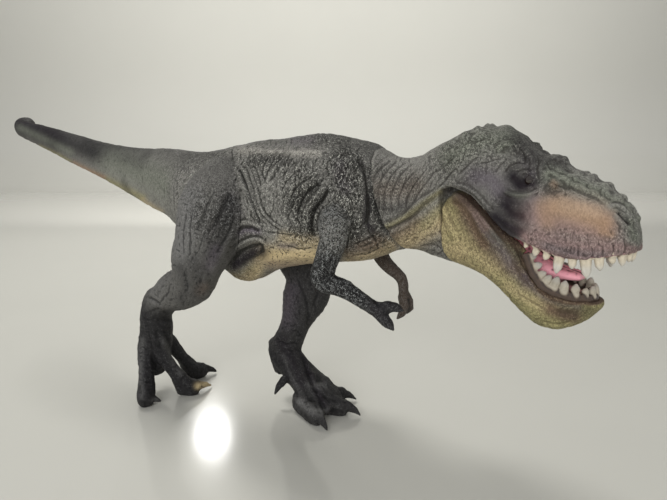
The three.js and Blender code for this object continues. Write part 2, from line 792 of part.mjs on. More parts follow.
// The bar that joins a row of teeth. Its groove is wider by the seam gap and open toward the mouth.
function gumBar(curve, mouthSign, grow = 0, open = 0) {
  const stations = rowStations(curve, grow).map(({ centre, side, up }) => ({
    centre,
    side,
    up,
    above: gumHeight / 2 + (mouthSign > 0 ? open : grow),
    below: gumHeight / 2 + (mouthSign > 0 ? grow : open),
    across: gumWidth / 2 + grow,
    crown: gumFullness,
    keel: gumFullness,
  }));
  return solidOf(loft(stations, { sides: gumSides }));
}

function rowStations(curve, grow) {
  return Array.from({ length: gumSteps + 1 }, (_, index) => {
    const share = index / gumSteps;
    const along = curve.getTangentAt(share);
    const up = point(0, 0, 1).addScaledVector(along, -along.z).normalize();
    const side = up.clone().cross(along);
    const shift = grow * (share === 1 ? 1 : share === 0 ? -1 : 0);
    return { centre: curve.getPointAt(share).addScaledVector(along, shift), side, up };
  });
}

// Cones along a row, as thick as its bar, that point to the mouth and follow the table and its mirror.
function teeth(curve, mouthSign, shares) {
  const sizes = [...shares, ...[...shares].reverse()];
  return sizes.map((share, index) => {
    const at = (index + 0.5) / sizes.length;
    const along = curve.getTangentAt(at);
    const out = point(0, 0, 1).addScaledVector(along, -along.z).normalize().multiplyScalar(mouthSign);
    const height = gumHeight / 2 + share * toothHeight;
    const radius = (toothWidth / 2) * (toothBaseShare + (1 - toothBaseShare) * share);
    const outline = toothOutlineShares.map(([wide, high]) => new THREE.Vector2(wide * radius, high * height));
    const cone = new THREE.LatheGeometry(outline, toothSides);
    cone.scale(1, 1, gumWidth / toothWidth);
    cone.applyMatrix4(new THREE.Matrix4().makeBasis(along, out, along.clone().cross(out)));
    const { x, y, z } = curve.getPointAt(at);
    return solidOf(cone.translate(x, y, z));
  });
}

const gumFullness = 4;
const toothBaseShare = 0.55;
const toothOutlineShares = [
  [0, 0],
  [1, 0],
  [0.66, 0.72],
  [0, 1],
];
const upperRow = rowCurve(upperRowShares);
const lowerRow = rowCurve(lowerRowShares);
const toothRow = (curve, mouthSign, shares) => joined([gumBar(curve, mouthSign), ...teeth(curve, mouthSign, shares)]);
const toothGroove = (curve, mouthSign) => gumBar(curve, mouthSign, seamGap, gumHeight);

// Eyes

const eye = (sign, grow = 0) => {
  const radius = eyeDiameter / 2 + grow;
  return ball(headPlace(eyeShares, sign), point(radius, radius, radius), eyeSides);
};

// Head and neck

const bothSides = (make) => [rightSign, leftSign].map(make);

function mouthRoom() {
  return sideCut(headOutline([...throatShares, ...lipShares]), headWidth, headFrame);
}

function hingeBlock() {
  return sideCut(headOutline(hingeBlockShares), hingeBlockHalf, headFrame);
}

function head() {
  const casting = skin.intersect(blockBeyond(neckSeam, neckSeamRise, neckLean, true));
  const knobs = knobShares.flatMap((row) => bothSides((sign) =>
    ball(headPlace(row.slice(0, 3), sign), headReach(row.slice(3)), knobSides)));
  const nostrils = bothSides((sign) => ball(headPlace(nostrilShares, sign), headReach(nostrilReachShares), knobSides));
  const cuts = [
    mouthRoom(),
    headLoft(cheekRoomShares, headWidth, { sides: mouthSides, ...cheekRoomFullness }),
    headLoft(palateShares, headWidth, { sides: limbSides, ...palateFullness }),
    toothGroove(upperRow, -1),
    ...bothSides((sign) => eye(sign, seamGap)),
    ...nostrils,
  ];
  return cuts.reduce((solid, cut) => solid.subtract(cut), joined([casting, ...knobs]))
    .add(hingeBlock())
    .add(neckPlug.peg)
    .subtract(pinHole);
}

// Lower jaw and tongue

const gulletOptions = { sides: limbSides, ...gulletFullness };

function lowerJaw() {
  return headLoft(jawShares, headWidth, { sides: mouthSides, steps: skinSteps, ...jawFullness })
    .subtract(headLoft(gulletShares, headWidth, gulletOptions))
    .subtract(toothGroove(lowerRow, 1))
    .subtract(pinHole);
}

function tongue() {
  return headLoft(tongueShares, tongueWidth, { sides: limbSides, steps: skinSteps, ...tongueFullness })
    .intersect(headLoft(gulletShares, headWidth, { ...gulletOptions, grow: -seamGap }));
}

// Figure

const colours = {
  back: '#6a6e60',
  tail: '#5d6155',
  limb: '#3a3b3e',
  arm: '#45484a',
  face: '#6d6b5f',
  jaw: '#86805c',
  ivory: '#d9d2c0',
  flesh: '#c25566',
  eye: '#14110f',
  steel: '#9a9a9a',
};

const figure = new THREE.Group();

// Turned groups carry the pieces that were cut in the figure's frame.
function groupAt(place, turn = 0) {
  const group = new THREE.Group();
  group.position.copy(place);
  group.rotation.z = turn;
  group.updateMatrixWorld(true);
  figure.add(group);
  return group;
}

function piece(group, name, solid, color, roughness = 0.7, metalness = 0) {
  const toGroup = group.matrixWorld.clone().invert();
  const material = new THREE.MeshStandardMaterial({ color, roughness, metalness });
  const mesh = new THREE.Mesh(geometryOf(solid).applyMatrix4(toGroup), material);
  mesh.name = name;
  group.add(mesh);
}

const body = groupAt(point(0, 0, hipHeight));
piece(body, 'torso', torso(), colours.back);
piece(body, 'tail', tail(), colours.tail);

const flanks = [
  {
    side: 'right',
    sign: rightSign,
    legRows: [rightThighShares, rightShankShares, rightInstepShares],
    toes: rightToes,
    toeSizes: rightToeSizeShares,
    spur: rightSpur,
    armRows: rightArmShares,
    fingers: rightFingers,
  },
  {
    side: 'left',
    sign: leftSign,
    legRows: [leftThighShares, leftShankShares, leftInstepShares],
    toes: leftToes,
    toeSizes: leftToeSizeShares,
    spur: leftSpur,
    armRows: leftArmShares,
    fingers: leftFingers,
  },
];
for (const flank of flanks) {
  piece(groupAt(seatAt(hipShares, flank.sign)), `${flank.side}_leg`, leg(flank), colours.limb);
  piece(groupAt(seatAt(shoulderShares, flank.sign)), `${flank.side}_arm`, arm(flank), colours.arm);
}

const skull = groupAt(hingeAt, -radians(headYaw));
piece(skull, 'head', head(), colours.face);
piece(skull, 'upper_teeth', toothRow(upperRow, -1, upperToothShares), colours.ivory, 0.35);
piece(skull, 'right_eye', eye(rightSign), colours.eye, 0.1);
piece(skull, 'left_eye', eye(leftSign), colours.eye, 0.1);
piece(skull, 'jaw_pin', pinBar(pinLength / 2, pinDiameter), colours.steel, 0.4, 0.9);

const jaw = groupAt(hingeMid, -radians(headYaw));
piece(jaw, 'lower_jaw', lowerJaw(), colours.jaw);
piece(jaw, 'lower_teeth', toothRow(lowerRow, 1, lowerToothShares), colours.ivory, 0.35);
piece(jaw, 'tongue', tongue(), colours.flesh, 0.4);

// The origin lies on the floor under the middle of the figure.
const extent = new THREE.Box3().setFromObject(figure, true);
const middle = extent.getCenter(new THREE.Vector3());
figure.position.set(-middle.x, -middle.y, -extent.min.z);

export default figure;
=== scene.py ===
"""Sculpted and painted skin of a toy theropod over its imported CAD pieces, as a Blender add-on."""
import math

import bmesh
import bpy
import numpy as np
from bpy.props import FloatProperty, FloatVectorProperty, PointerProperty
from mathutils import Matrix, Vector
from mathutils.bvhtree import BVHTree


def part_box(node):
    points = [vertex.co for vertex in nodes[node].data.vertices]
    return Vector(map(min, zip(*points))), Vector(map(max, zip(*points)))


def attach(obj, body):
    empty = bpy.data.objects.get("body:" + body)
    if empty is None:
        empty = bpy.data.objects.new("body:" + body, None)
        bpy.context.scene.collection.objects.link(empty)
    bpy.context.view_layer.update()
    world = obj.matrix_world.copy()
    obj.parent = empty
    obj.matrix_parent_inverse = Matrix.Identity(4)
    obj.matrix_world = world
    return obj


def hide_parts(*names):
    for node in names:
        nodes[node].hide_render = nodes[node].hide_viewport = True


bl_info = {
    "name": "Toy Theropod Skin",
    "version": (1, 0, 0),
    "blender": (4, 5, 0),
    "location": "3D View > Sidebar > Theropod",
    "description": "Sculpts and paints the skin of a toy theropod with a hinged jaw",
    "category": "Object",
}

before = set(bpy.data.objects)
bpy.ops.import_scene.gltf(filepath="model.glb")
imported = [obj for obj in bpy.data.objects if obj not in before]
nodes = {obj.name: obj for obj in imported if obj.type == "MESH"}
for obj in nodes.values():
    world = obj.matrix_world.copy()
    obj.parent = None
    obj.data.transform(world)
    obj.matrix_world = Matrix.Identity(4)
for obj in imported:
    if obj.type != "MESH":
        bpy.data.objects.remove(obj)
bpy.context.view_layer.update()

# Lengths are millimetres while a skin is shaped, and metres in Blender
MM = 0.001

# CAD nodes of the body beside the torso and the tail
LIMBS = ("right_leg", "left_leg", "right_arm", "left_arm")

# Where the tail's seam crosses the trunk, the middle of the trunk, and its left
TAIL_SEAM = 2.46
TRUNK_MIDDLE = np.array([0, 0.25, 0])
TRUNK_LEFT = np.array([0.0, 1.0, 0.0])

# The head's own frame: its place and how far it is turned to the right
HEAD_PLACE = np.array([127.66, -3.55, 107.0])
HEAD_YAW = math.radians(15)
HEAD_AHEAD = np.array([math.cos(HEAD_YAW), -math.sin(HEAD_YAW), 0.0])
HEAD_LEFT = np.array([math.sin(HEAD_YAW), math.cos(HEAD_YAW), 0.0])

# The camera: place, heading to the left of straight across, pitch down, and focal length in pixels
CAMERA_PLACE = np.array([182.46, -185.05, 118.0])
CAMERA_HEADING = math.radians(30)
CAMERA_PITCH = math.radians(10)
CAMERA_FOCAL = 520.0
FRAME_WIDTH = 667.0
FRAME_HEIGHT = 500.0
SENSOR_WIDTH = 36
SIGHT_RIGHT = np.array([math.cos(CAMERA_HEADING), math.sin(CAMERA_HEADING), 0.0])
SIGHT_AHEAD = np.array([
    -math.sin(CAMERA_HEADING) * math.cos(CAMERA_PITCH),
    math.cos(CAMERA_HEADING) * math.cos(CAMERA_PITCH),
    -math.sin(CAMERA_PITCH),
])
SIGHT_DOWN = np.cross(SIGHT_AHEAD, SIGHT_RIGHT)

# CAD vertices closer than this many metres are merged
MERGE_DISTANCE = 1e-6

# How much a skin stands out from its CAD nodes before it is sculpted
BODY_GROWTH = 0.2
HEAD_GROWTH = 0.15
TOOTH_GROWTH = 0.12

# Limbs: reach of their box, and the step from one casting to the next where they meet
LIMB_REACH = 3
LIMB_STEP = 1.2

# A drawn mark reaches this many widths, and is lined by a rim at its side
MARK_REACH = 3.2
RIM_AWAY = 1.9
RIM_HEIGHT = 0.3
WRINKLE_BEND = 0.25

# An airbrush stroke ends at this share of its reach, and fades with the other
SPRAY_END = 1.4
SPRAY_FADE = 0.66

# Random fields repeat after this many lumps, and their creases have this width
LUMP_GRID = 32
CREASE_WIDTH = 0.16

# Folds are what stands off a skin after these rounds of smoothing, less their own mean, times a gain
FINE_ROUNDS = 3
BROAD_ROUNDS = 16
LEVEL_ROUNDS = 30
FOLD_GAIN = 1.5

# Fold of an even surface, which takes neither wash nor brushing
EVEN_FOLD = 0.52

# Tooth rows: step along a row, radius of its front, height of the gum's bar, and where the closing jaw
# passes closest inside the upper teeth
ROW_STEP = 0.4
ROW_FRONT = 8
GUM_HEIGHT = 2.7
JAW_PASSES = 31.5

# How far the tip of the tail hangs below its CAD node
TAIL_TIP_DROP = 1.3

# Eye beads: radius, and how far the middle lies under the skin
BEAD_RADIUS = 1.5
BEAD_SUNK = 0.95

# Height of the bump of the scales in metres
SCALE_RELIEF = 0.0002

# The floor: half its width, where its wall begins, and the bend between them
FLOOR_HALF = 3
WALL_AWAY = 1.6
WALL_BEND = 0.5
WALL_BEND_ARC = 0.785


def srgb(code):
    """Linear colour of a six-digit colour code."""
    parts = [int(code[at:at + 2], 16) / 255 for at in (0, 2, 4)]
    return tuple(p / 12.92 if p <= 0.04045 else ((p + 0.055) / 1.055) ** 2.4 for p in parts)


# Settings


def mesh_size(name, description, default):
    return FloatProperty(name=name, description=description, default=default, unit="LENGTH")


def colour(name, description, code):
    return FloatVectorProperty(
        name=name, description=description, subtype="COLOR", size=3, min=0, max=1, default=srgb(code)
    )


class ToyTheropodSculpt(bpy.types.PropertyGroup):
    """Sizes of the sculpted skins."""

    body_grain: mesh_size("Body grain", "Mesh size of the trunk, tail and legs", 0.0005)
    head_grain: mesh_size("Head grain", "Mesh size of the head and jaw", 0.00043)
    tooth_grain: mesh_size("Tooth grain", "Mesh size of the tooth rows and tongue", 0.00022)
    fold_depth: FloatProperty(
        name="Fold depth",
        description="Depth of every fold and wrinkle",
        default=1.0,
        min=0,
        max=2,
        subtype="FACTOR",
    )


class ToyTheropodPaint(bpy.types.PropertyGroup):
    """Colours of the painted skins."""

    # Back also lightens the edge of the back, with ivory, as a painted highlight
    back: colour("Back", "Grey of the back and flanks", "7d7b75")
    # Shade also darkens the whole lower tooth row as painted shade
    shade: colour("Shade", "Darker grey of hips and shoulders", "605e5a")
    belly: colour("Belly", "Sand of the belly", "c9b58c")
    tan: colour("Tan", "Orange tan of snout and belly", "967a61")
    cream: colour("Cream", "Pale middle of the snout", "a08973")
    violet: colour("Violet", "Violet grey airbrushed on flanks and brow", "5a525b")
    # Charcoal also fills the creases of the ribs and the front of the thigh as painted shade
    charcoal: colour("Charcoal", "Near black of feet and arms", "222122")
    ash: colour("Ash", "Grey of thighs, knees and worn charcoal", "6d6c6a")
    moss: colour("Moss", "Green grey of the crest and the ridge of the nose", "6f7266")
    olive: colour("Olive", "Yellow-green of the jaw and throat", "918a62")
    earth: colour("Earth", "Brown of jaw and neck", "6b5848")
    wine: colour("Wine", "Dull red violet of lips and mouth corners", "8b726e")
    # Night also paints shade and shadow: grooves along the cheek, jaw, shoulder and throat, the groin and
    # thigh creases, the toe gap and the jaw's rim
    night: colour("Night", "Black violet round the eyes", "1b161c")
    flesh: colour("Flesh", "Pink of tongue and gums", "f2aab5")
    # Ivory also lights the edge of the back as a painted highlight
    ivory: colour("Ivory", "Teeth", "bcb7ac")


# Shaping


def column(items, name, width, kind=np.float64):
    values = np.zeros(len(items) * width, np.float32 if kind == np.float64 else kind)
    items.foreach_get(name, values)
    return values.astype(kind).reshape(-1, width)


def meshed(shape, name):
    """A new mesh from a finished bmesh."""
    mesh = bpy.data.meshes.new(name)
    shape.to_mesh(mesh)
    shape.free()
    return mesh


def linked(data, name):
    """A new object in the scene."""
    holder = bpy.data.objects.new(name, data)
    bpy.context.scene.collection.objects.link(holder)
    return holder


def remeshed(names, growth, grain):
    """An even quad mesh, as one skin, over CAD nodes that are each merged and grown by millimetres."""
    whole = bmesh.new()
    for name in names:
        part = bmesh.new()
        part.from_mesh(nodes[name].data)
        bmesh.ops.remove_doubles(part, verts=part.verts, dist=MERGE_DISTANCE)
        part.normal_update()
        for vertex in part.verts:
            vertex.co += vertex.normal * growth * MM
        grown = meshed(part, "grown")
        whole.from_mesh(grown)
        bpy.data.meshes.remove(grown)
    mesh = meshed(whole, "clay")
    holder = linked(mesh, "clay")
    remesh = holder.modifiers.new("remesh", "REMESH")
    remesh.mode = "VOXEL"
    remesh.voxel_size = grain * 1
    graph = bpy.context.evaluated_depsgraph_get()
    skin = bpy.data.meshes.new_from_object(holder.evaluated_get(graph))
    bpy.data.objects.remove(holder)
    bpy.data.meshes.remove(mesh)
    return skin


def passes(rounds):
    return rounds


def smooth(low, high, values):
    t = np.clip((values - low) / (high - low), 0, 1)
    return t * t * (3 - 2 * t)


def ease(values, goal, weight):
    """Moves values toward a goal, in place."""
    values += (goal - values) * weight


class Clay:
    """A closed skin over CAD nodes while it is shaped and painted, in millimetres."""

    def __init__(self, scene, names, growth, grain, ground):
        self.mesh = remeshed(names, growth, grain)
        self.co = column(self.mesh.vertices, "co", 3) / MM
        self.start, self.end = column(self.mesh.edges, "vertices", 2, np.int32).T
        self.size = len(self.co)
        ends = np.bincount(self.start, minlength=self.size) + np.bincount(self.end, minlength=self.size)
        self.share = 1 / np.maximum(ends, 1)
        self.palette = scene.toy_paint
        self.depth = scene.toy_sculpt.fold_depth
        self.paint = np.tile(np.array(getattr(self.palette, ground)), (self.size, 1))
        self.grit = np.zeros(self.size)

    def averaged(self, values, rounds, strength=0.7):
        """Values spread to their neighbours a number of times."""
        flat = values.ndim == 1
        lanes = [values.copy()] if flat else [lane.copy() for lane in values.T]
        for lane in lanes:
            for _ in range(rounds):
                near = np.bincount(self.start, lane[self.end], self.size)
                near += np.bincount(self.end, lane[self.start], self.size)
                lane += strength * (near * self.share - lane)
        return lanes[0] if flat else np.stack(lanes, 1)

    def rounded(self, rounds, mask=1.0):
        """Takes out facets and keeps the size of the form."""
        soft = self.averaged(self.co, rounds)
        even = soft + self.averaged(self.co - soft, rounds)
        ease(self.co, even, mask)

    def normals(self):
        self.mesh.vertices.foreach_set("co", (self.co * MM).astype(np.float32).ravel())
        self.mesh.update()
        return column(self.mesh.vertex_normals, "vector", 3)

    def raised(self, height):
        self.co += self.normals() * height[:, None]

    def brush(self, tint, weight):
        """Blends a colour of the palette over the paint."""
        ease(self.paint, np.array(getattr(self.palette, tint)), np.clip(weight, 0, 1)[:, None])

    def spray(self, seen, marks, mask=1.0):
        """Airbrush strokes, each with a colour, a strength, a reach in pixels and a line."""
        for tint, strength, reach, line in marks:
            inside, gap, _ = near_line(seen, line, SPRAY_END * reach)
            weight = np.zeros(self.size)
            weight[inside] = strength * np.exp(-((gap / (SPRAY_FADE * reach)) ** 2))
            self.brush(tint, weight * mask)

    def scales(self, seen, ground, marks):
        """How strongly scales show: on the ground, and near marks of a strength, a reach and a line."""
        self.grit[:] = ground
        for strength, reach, line in marks:
            inside, gap, _ = near_line(seen, line, reach)
            weight = np.zeros(self.size)
            weight[inside] = 1 - smooth(0.3, 1.0, gap / reach)
            ease(self.grit, strength, weight)

    def find_folds(self, depth):
        """Sets the fold of each place, from 0 in a recess to 1 on a ridge of a depth."""
        normal = self.normals()
        fine = ((self.co - self.averaged(self.co, FINE_ROUNDS)) * normal).sum(1)
        broad = ((self.co - self.averaged(self.co, BROAD_ROUNDS)) * normal).sum(1)
        broad -= self.averaged(broad, LEVEL_ROUNDS)
        self.fold = np.clip(0.5 + FOLD_GAIN * (fine + broad) / depth, 0, 1)

    def even_seam(self, node, reach, mask=1.0):
        """Leaves out wash and brushing beside the seam with another CAD node."""
        ease(self.fold, EVEN_FOLD, smooth(0.1, 0.8, beside(self, node, reach)) * mask)

    def kept(self):
        """Puts the paint, the folds and the grit on the mesh."""
        self.normals()
        tint = self.mesh.color_attributes.new("paint", "FLOAT_COLOR", "POINT")
        full = np.ones((self.size, 4), np.float32)
        full[:, :3] = np.clip(self.paint, 0, 1)
        tint.data.foreach_set("color", full.ravel())
        for name, values in (("fold", self.fold), ("grit", self.grit)):
            layer = self.mesh.attributes.new(name, "FLOAT", "POINT")
            layer.data.foreach_set("value", np.clip(values, 0, 1).astype(np.float32))
        return self.mesh


def curved(line, steps=5):
    """Points of a drawn line, rounded at its bends."""
    line = np.array(line, float)
    if len(line) < 3:
        return line
    padded = np.vstack([line[0], line, line[-1]])
    out = []
    for at in range(len(line) - 1):
        a, b, c, d = padded[at:at + 4]
        for t in np.arange(steps) / steps:
            out.append(b + 0.5 * t * (c - a + t * (2 * a - 5 * b + 4 * c - d + t * (3 * (b - c) + d - a))))
    return np.array(out + [line[-1]])


def near_line(places, line, reach):
    """Which places lie within reach of a line, their distance from it, and their share along it."""
    line = curved(line) if len(line) > 1 else np.array([line[0], line[0]], float)
    low = line.min(0) - reach
    high = line.max(0) + reach
    inside = np.flatnonzero(((places >= low) & (places <= high)).all(1))
    spots = places[inside]
    best = np.full(len(inside), np.inf)
    share = np.zeros(len(inside))
    spans = np.linalg.norm(np.diff(line, axis=0), axis=1)
    total = max(spans.sum(), 1e-9)
    done = 0.0
    for at, span in enumerate(spans):
        step = line[at + 1] - line[at]
        t = np.clip((spots - line[at]) @ step / max(span * span, 1e-12), 0, 1)
        gap = np.linalg.norm(spots - line[at] - t[:, None] * step, axis=1)
        closer = gap < best
        best[closer] = gap[closer]
        share[closer] = (done + t[closer] * span) / total
        done += span
    return inside, best, share


def strokes(view, rows):
    """Marks with their values and a line each, from rows that end in across and down of every point.

    The view is the part of the picture that they were read off: left, top and times enlarged.
    """
    left, top, times = view
    marks = []
    for row in rows:
        lead = 3 if isinstance(row[0], str) else 2
        across = [left + value / times for value in row[lead::2]]
        down = [top + value / times for value in row[lead + 1::2]]
        marks.append((*row[:lead], list(zip(across, down))))
    return marks


def wrinkles(rows):
    """Short creases scattered in picture areas, all heading roughly one way.

    Each row has a seed, an area, a heading, a count, a length, a width, a depth and a spread.
    """
    marks = []
    for seed, (left, top, right, bottom), heading, count, length, width, depth, spread in rows:
        dice = np.random.default_rng(seed)
        for _ in range(count):
            middle = np.array([dice.uniform(left, right), dice.uniform(top, bottom)])
            turn = math.radians(heading + dice.normal(0, spread))
            ahead = np.array([math.cos(turn), math.sin(turn)]) * length * dice.uniform(0.5, 1.3) / 2
            side = np.array([-ahead[1], ahead[0]]) * WRINKLE_BEND * dice.normal(1, 0.6)
            line = [middle - ahead, middle + side, middle + ahead]
            marks.append((depth * dice.uniform(0.5, 1.3), width * dice.uniform(0.8, 1.3), line))
    return marks


def drawn(places, marks):
    """Height of drawn marks over places: each has a depth, a width and a line. Cuts are below zero."""
    height = np.zeros(len(places))
    for depth, width, line in marks:
        inside, gap, share = near_line(places, line, MARK_REACH * width)
        taper = np.clip(4 * share * (1 - share), 0, 1) ** 0.5 if len(line) > 1 else 1.0
        rim = RIM_HEIGHT * np.exp(-((gap / width - RIM_AWAY) ** 2))
        height[inside] += depth * taper * (np.exp(-((gap / width) ** 2)) - rim)
    return height


def knobs(places, seen, straight, marks):
    """Height of round bumps: each has a height and a reach in millimetres and a place in the picture."""
    height = np.zeros(len(places))
    for rise, reach, line in marks:
        miss = np.linalg.norm(seen - np.array(line[0]), axis=1)
        miss[straight < -0.1] = np.inf
        away = np.linalg.norm(places - places[np.argmin(miss)], axis=1) / reach
        height += rise * np.exp(-(away**2))
    return height


def lumps(places, size, seed):
    """Smooth random values from -1 to 1 over places, with lumps of one size."""
    grid = np.random.default_rng(seed).uniform(-1, 1, [LUMP_GRID] * 3)
    scaled = places / size
    cell = np.floor(scaled).astype(int)
    t = smooth(0, 1, scaled - cell)
    out = np.zeros(len(places))
    for corner in np.ndindex(2, 2, 2):
        at = (cell + corner) % LUMP_GRID
        weight = np.prod(np.where(np.array(corner) == 1, t, 1 - t), axis=1)
        out += weight * grid[at[:, 0], at[:, 1], at[:, 2]]
    return out


def creased(places, size, seed):
    """Random branching creases: 0 on the skin and down to -1 in a crease."""
    field = lumps(places, size, seed) + 0.5 * lumps(places, size / 2.1, seed + 1)
    return -np.exp(-((field / CREASE_WIDTH) ** 2))


def sight(places):
    """Where places in millimetres appear in the picture frame."""
    away = places - CAMERA_PLACE
    depth = away @ SIGHT_AHEAD
    across = FRAME_WIDTH / 2 + CAMERA_FOCAL * (away @ SIGHT_RIGHT) / depth
    down = FRAME_HEIGHT / 2 + CAMERA_FOCAL * (away @ SIGHT_DOWN) / depth
    return np.stack([across, down], 1)


def facing(places, normals):
    """How squarely a surface faces the camera, from -1 to 1."""
    back = CAMERA_PLACE - places
    back /= np.linalg.norm(back, axis=1)[:, None]
    return (back * normals).sum(1)


def in_view(straight):
    """How far drawn marks show on a surface, from 0 where it turns from the camera to 1."""
    return smooth(-0.05, 0.25, straight)


def mirrored(places, normals, middle, left):
    """Places brought to the right side of a plane, so that both sides get the same marks.

    With them comes where they appear in the picture, and how squarely they face the camera.
    """
    out = (places - middle) @ left
    flip = np.where(out > 0, -2.0, 0.0)
    near = places + (flip * out)[:, None] * left
    turned = normals + (flip * (normals @ left))[:, None] * left
    return near, sight(near), facing(near, turned)


def surface(mesh):
    """Search tree over the faces of a mesh."""
    return BVHTree.FromPolygons([v.co for v in mesh.vertices], [p.vertices for p in mesh.polygons])


def close_to(clay, node, reach):
    """Which places of a skin lie within a reach in millimetres of a CAD node's box."""
    low, high = (np.array(corner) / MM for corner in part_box(node))
    return np.flatnonzero(((clay.co >= low - reach) & (clay.co <= high + reach)).all(1))


def beside(clay, node, reach):
    """How near each place is to another CAD node: 1 on it and 0 beyond the reach in millimetres."""
    share = np.zeros(clay.size)
    tree = surface(nodes[node].data)
    for at in close_to(clay, node, reach):
        gap = tree.find_nearest(Vector(clay.co[at] * MM))[3] / MM
        share[at] = max(0, 1 - gap / reach)
    return share


def shown(mesh, name, material, body, node):
    """Links a finished mesh as a piece that rides a body and stands for a CAD node."""
    mesh.name = name
    mesh.materials.clear()
    mesh.materials.append(material)
    mesh.shade_smooth()
    piece = linked(mesh, name)
    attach(piece, body)
    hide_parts(node)


# Paints


class Wires:
    """Adds nodes to a node tree, where an input is a value or a link."""

    def __init__(self, tree):
        self.tree = tree

    def feed(self, node, sockets):
        for key, value in sockets.items():
            socket = node.inputs[key]
            if isinstance(value, bpy.types.NodeSocket):
                self.tree.links.new(value, socket)
            else:
                socket.default_value = (*value, 1.0) if socket.type == "RGBA" else value
        return node

    def add(self, kind, sockets, **settings):
        node = self.tree.nodes.new(f"ShaderNode{kind}")
        for key, value in settings.items():
            setattr(node, key, value)
        return self.feed(node, sockets)

    def group(self, made, sockets):
        return self.add("Group", sockets, node_tree=made).outputs

    def attribute(self, name, output="Fac"):
        return self.add("Attribute", {}, attribute_name=name).outputs[output]

    def maths(self, operation, first, second, clamp=False):
        return self.add("Math", {0: first, 1: second}, operation=operation, use_clamp=clamp).outputs[0]

    def times(self, first, second, clamp=False):
        return self.maths("MULTIPLY", first, second, clamp)

    def plus(self, first, second):
        return self.maths("ADD", first, second)

    def ramp(self, value, low, high, start=0.0, stop=1.0):
        """Value mapped from one range to another, with soft ends."""
        ends = {"Value": value, "From Min": low, "From Max": high, "To Min": start, "To Max": stop}
        return self.add("MapRange", ends, interpolation_type="SMOOTHSTEP").outputs["Result"]

    def mixed(self, factor, first, second):
        return self.add("Mix", {0: factor, 6: first, 7: second}, data_type="RGBA").outputs[2]

    def multiplied(self, first, second):
        ends = {0: 1.0, 6: first, 7: second}
        return self.add("Mix", ends, data_type="RGBA", blend_type="MULTIPLY").outputs[2]


def shader_group(inputs, outputs):
    """Turns a function that wires an effect into one that gives its node group, built once.

    An input has its default or, where it has none, its kind.
    """

    def decorated(wired):
        name = wired.__name__

        def built():
            if name in bpy.data.node_groups:
                return bpy.data.node_groups[name]
            tree = bpy.data.node_groups.new(name, "ShaderNodeTree")
            for label, given in inputs.items():
                kind = given if isinstance(given, str) else "Float"
                socket = tree.interface.new_socket(label, in_out="INPUT", socket_type=f"NodeSocket{kind}")
                if kind != given:
                    socket.default_value = given
            for label, kind in outputs.items():
                tree.interface.new_socket(label, in_out="OUTPUT", socket_type=f"NodeSocket{kind}")
            results = wired(Wires(tree), tree.nodes.new("NodeGroupInput").outputs)
            Wires(tree).feed(tree.nodes.new("NodeGroupOutput"), results)
            return tree

        return built

    return decorated


@shader_group(
    {"Place": "Vector", "Count per Metre": 900.0, "Wander": 0.0006},
    {"Height": "Float", "Scale Tone": "Float", "Lines": "Float"},
)
def pebble_scales(wires, given):
    """Rounded scales: their height, a random value each, and the dark lines between them."""
    drift = wires.add("TexNoise", {"Vector": given["Place"], "Scale": 260.0, "Detail": 2.0})
    centred = wires.add("VectorMath", {0: drift.outputs["Color"], 1: (0.5, 0.5, 0.5)}, operation="SUBTRACT")
    pushed = wires.add("VectorMath", {0: centred.outputs[0], "Scale": given["Wander"]}, operation="SCALE")
    place = wires.add("VectorMath", {0: given["Place"], 1: pushed.outputs[0]}, operation="ADD").outputs[0]
    spread = {"Vector": place, "Scale": given["Count per Metre"]}
    cells = wires.add("TexVoronoi", spread)
    gap = wires.add("TexVoronoi", spread, feature="DISTANCE_TO_EDGE").outputs["Distance"]
    tone = wires.add("SeparateColor", {"Color": cells.outputs["Color"]}).outputs[0]
    lines = wires.ramp(gap, 0.02, 0.16, 1.0, 0.0)
    return {"Height": wires.ramp(gap, 0.0, 0.34), "Scale Tone": tone, "Lines": lines}


@shader_group({"Place": "Vector", "Size": 60.0, "Strength": 0.3}, {"Tone": "Float"})
def mottling(wires, given):
    """Cloudy changes of tone, from dark to light about 1."""
    spread = {"Vector": given["Place"], "Scale": given["Size"], "Detail": 6.0, "Roughness": 0.65}
    signed = wires.maths("SUBTRACT", wires.add("TexNoise", spread).outputs[0], 0.5)
    return {"Tone": wires.plus(wires.times(wires.times(signed, 2.0), given["Strength"]), 1.0)}


@shader_group(
    {
        "Colour": "Color",
        "Wash Colour": "Color",
        "Brush Colour": "Color",
        "Fold": 0.5,
        "Height": 0.5,
        "Tone": 0.5,
        "Lines": 0.0,
        "Grit": 0.5,
        "Wash": 0.7,
        "Brush": 0.5,
        "Sparse": 0.45,
    },
    {"Colour": "Color", "Proud": "Float"},
)
def dry_brush(wires, given):
    """Dark wash in the recesses and a light brushed coat on some of what stands proud."""
    recess = wires.ramp(given["Fold"], 0.5, 0.02)
    ridge = wires.ramp(given["Fold"], 0.35, 0.85)
    dark_scales = wires.times(wires.ramp(given["Tone"], 0.42, 0.2), 0.8)
    gaps = wires.times(wires.maths("MAXIMUM", given["Lines"], dark_scales), given["Grit"])
    soaked = wires.times(wires.maths("MAXIMUM", recess, gaps), given["Wash"], True)
    washed = wires.mixed(soaked, given["Colour"], given["Wash Colour"])
    light_scales = wires.ramp(given["Tone"], given["Sparse"], wires.plus(given["Sparse"], 0.35))
    hit = wires.times(wires.ramp(given["Height"], 0.25, 0.85), light_scales)
    touched = wires.times(wires.times(hit, wires.plus(ridge, 0.25)), given["Grit"])
    proud = wires.times(touched, given["Brush"], True)
    return {"Colour": wires.mixed(proud, washed, given["Brush Colour"]), "Proud": proud}


def fresh_material(name):
    """A new material with its wires, its shader and the place on the object."""
    material = bpy.data.materials.new(name)
    material.use_nodes = True
    tree = material.node_tree
    tree.nodes.clear()
    wires = Wires(tree)
    shader = wires.add("BsdfPrincipled", {})
    wires.add("OutputMaterial", {0: shader.outputs[0]})
    return material, wires, shader, wires.add("TexCoord", {}).outputs["Object"]


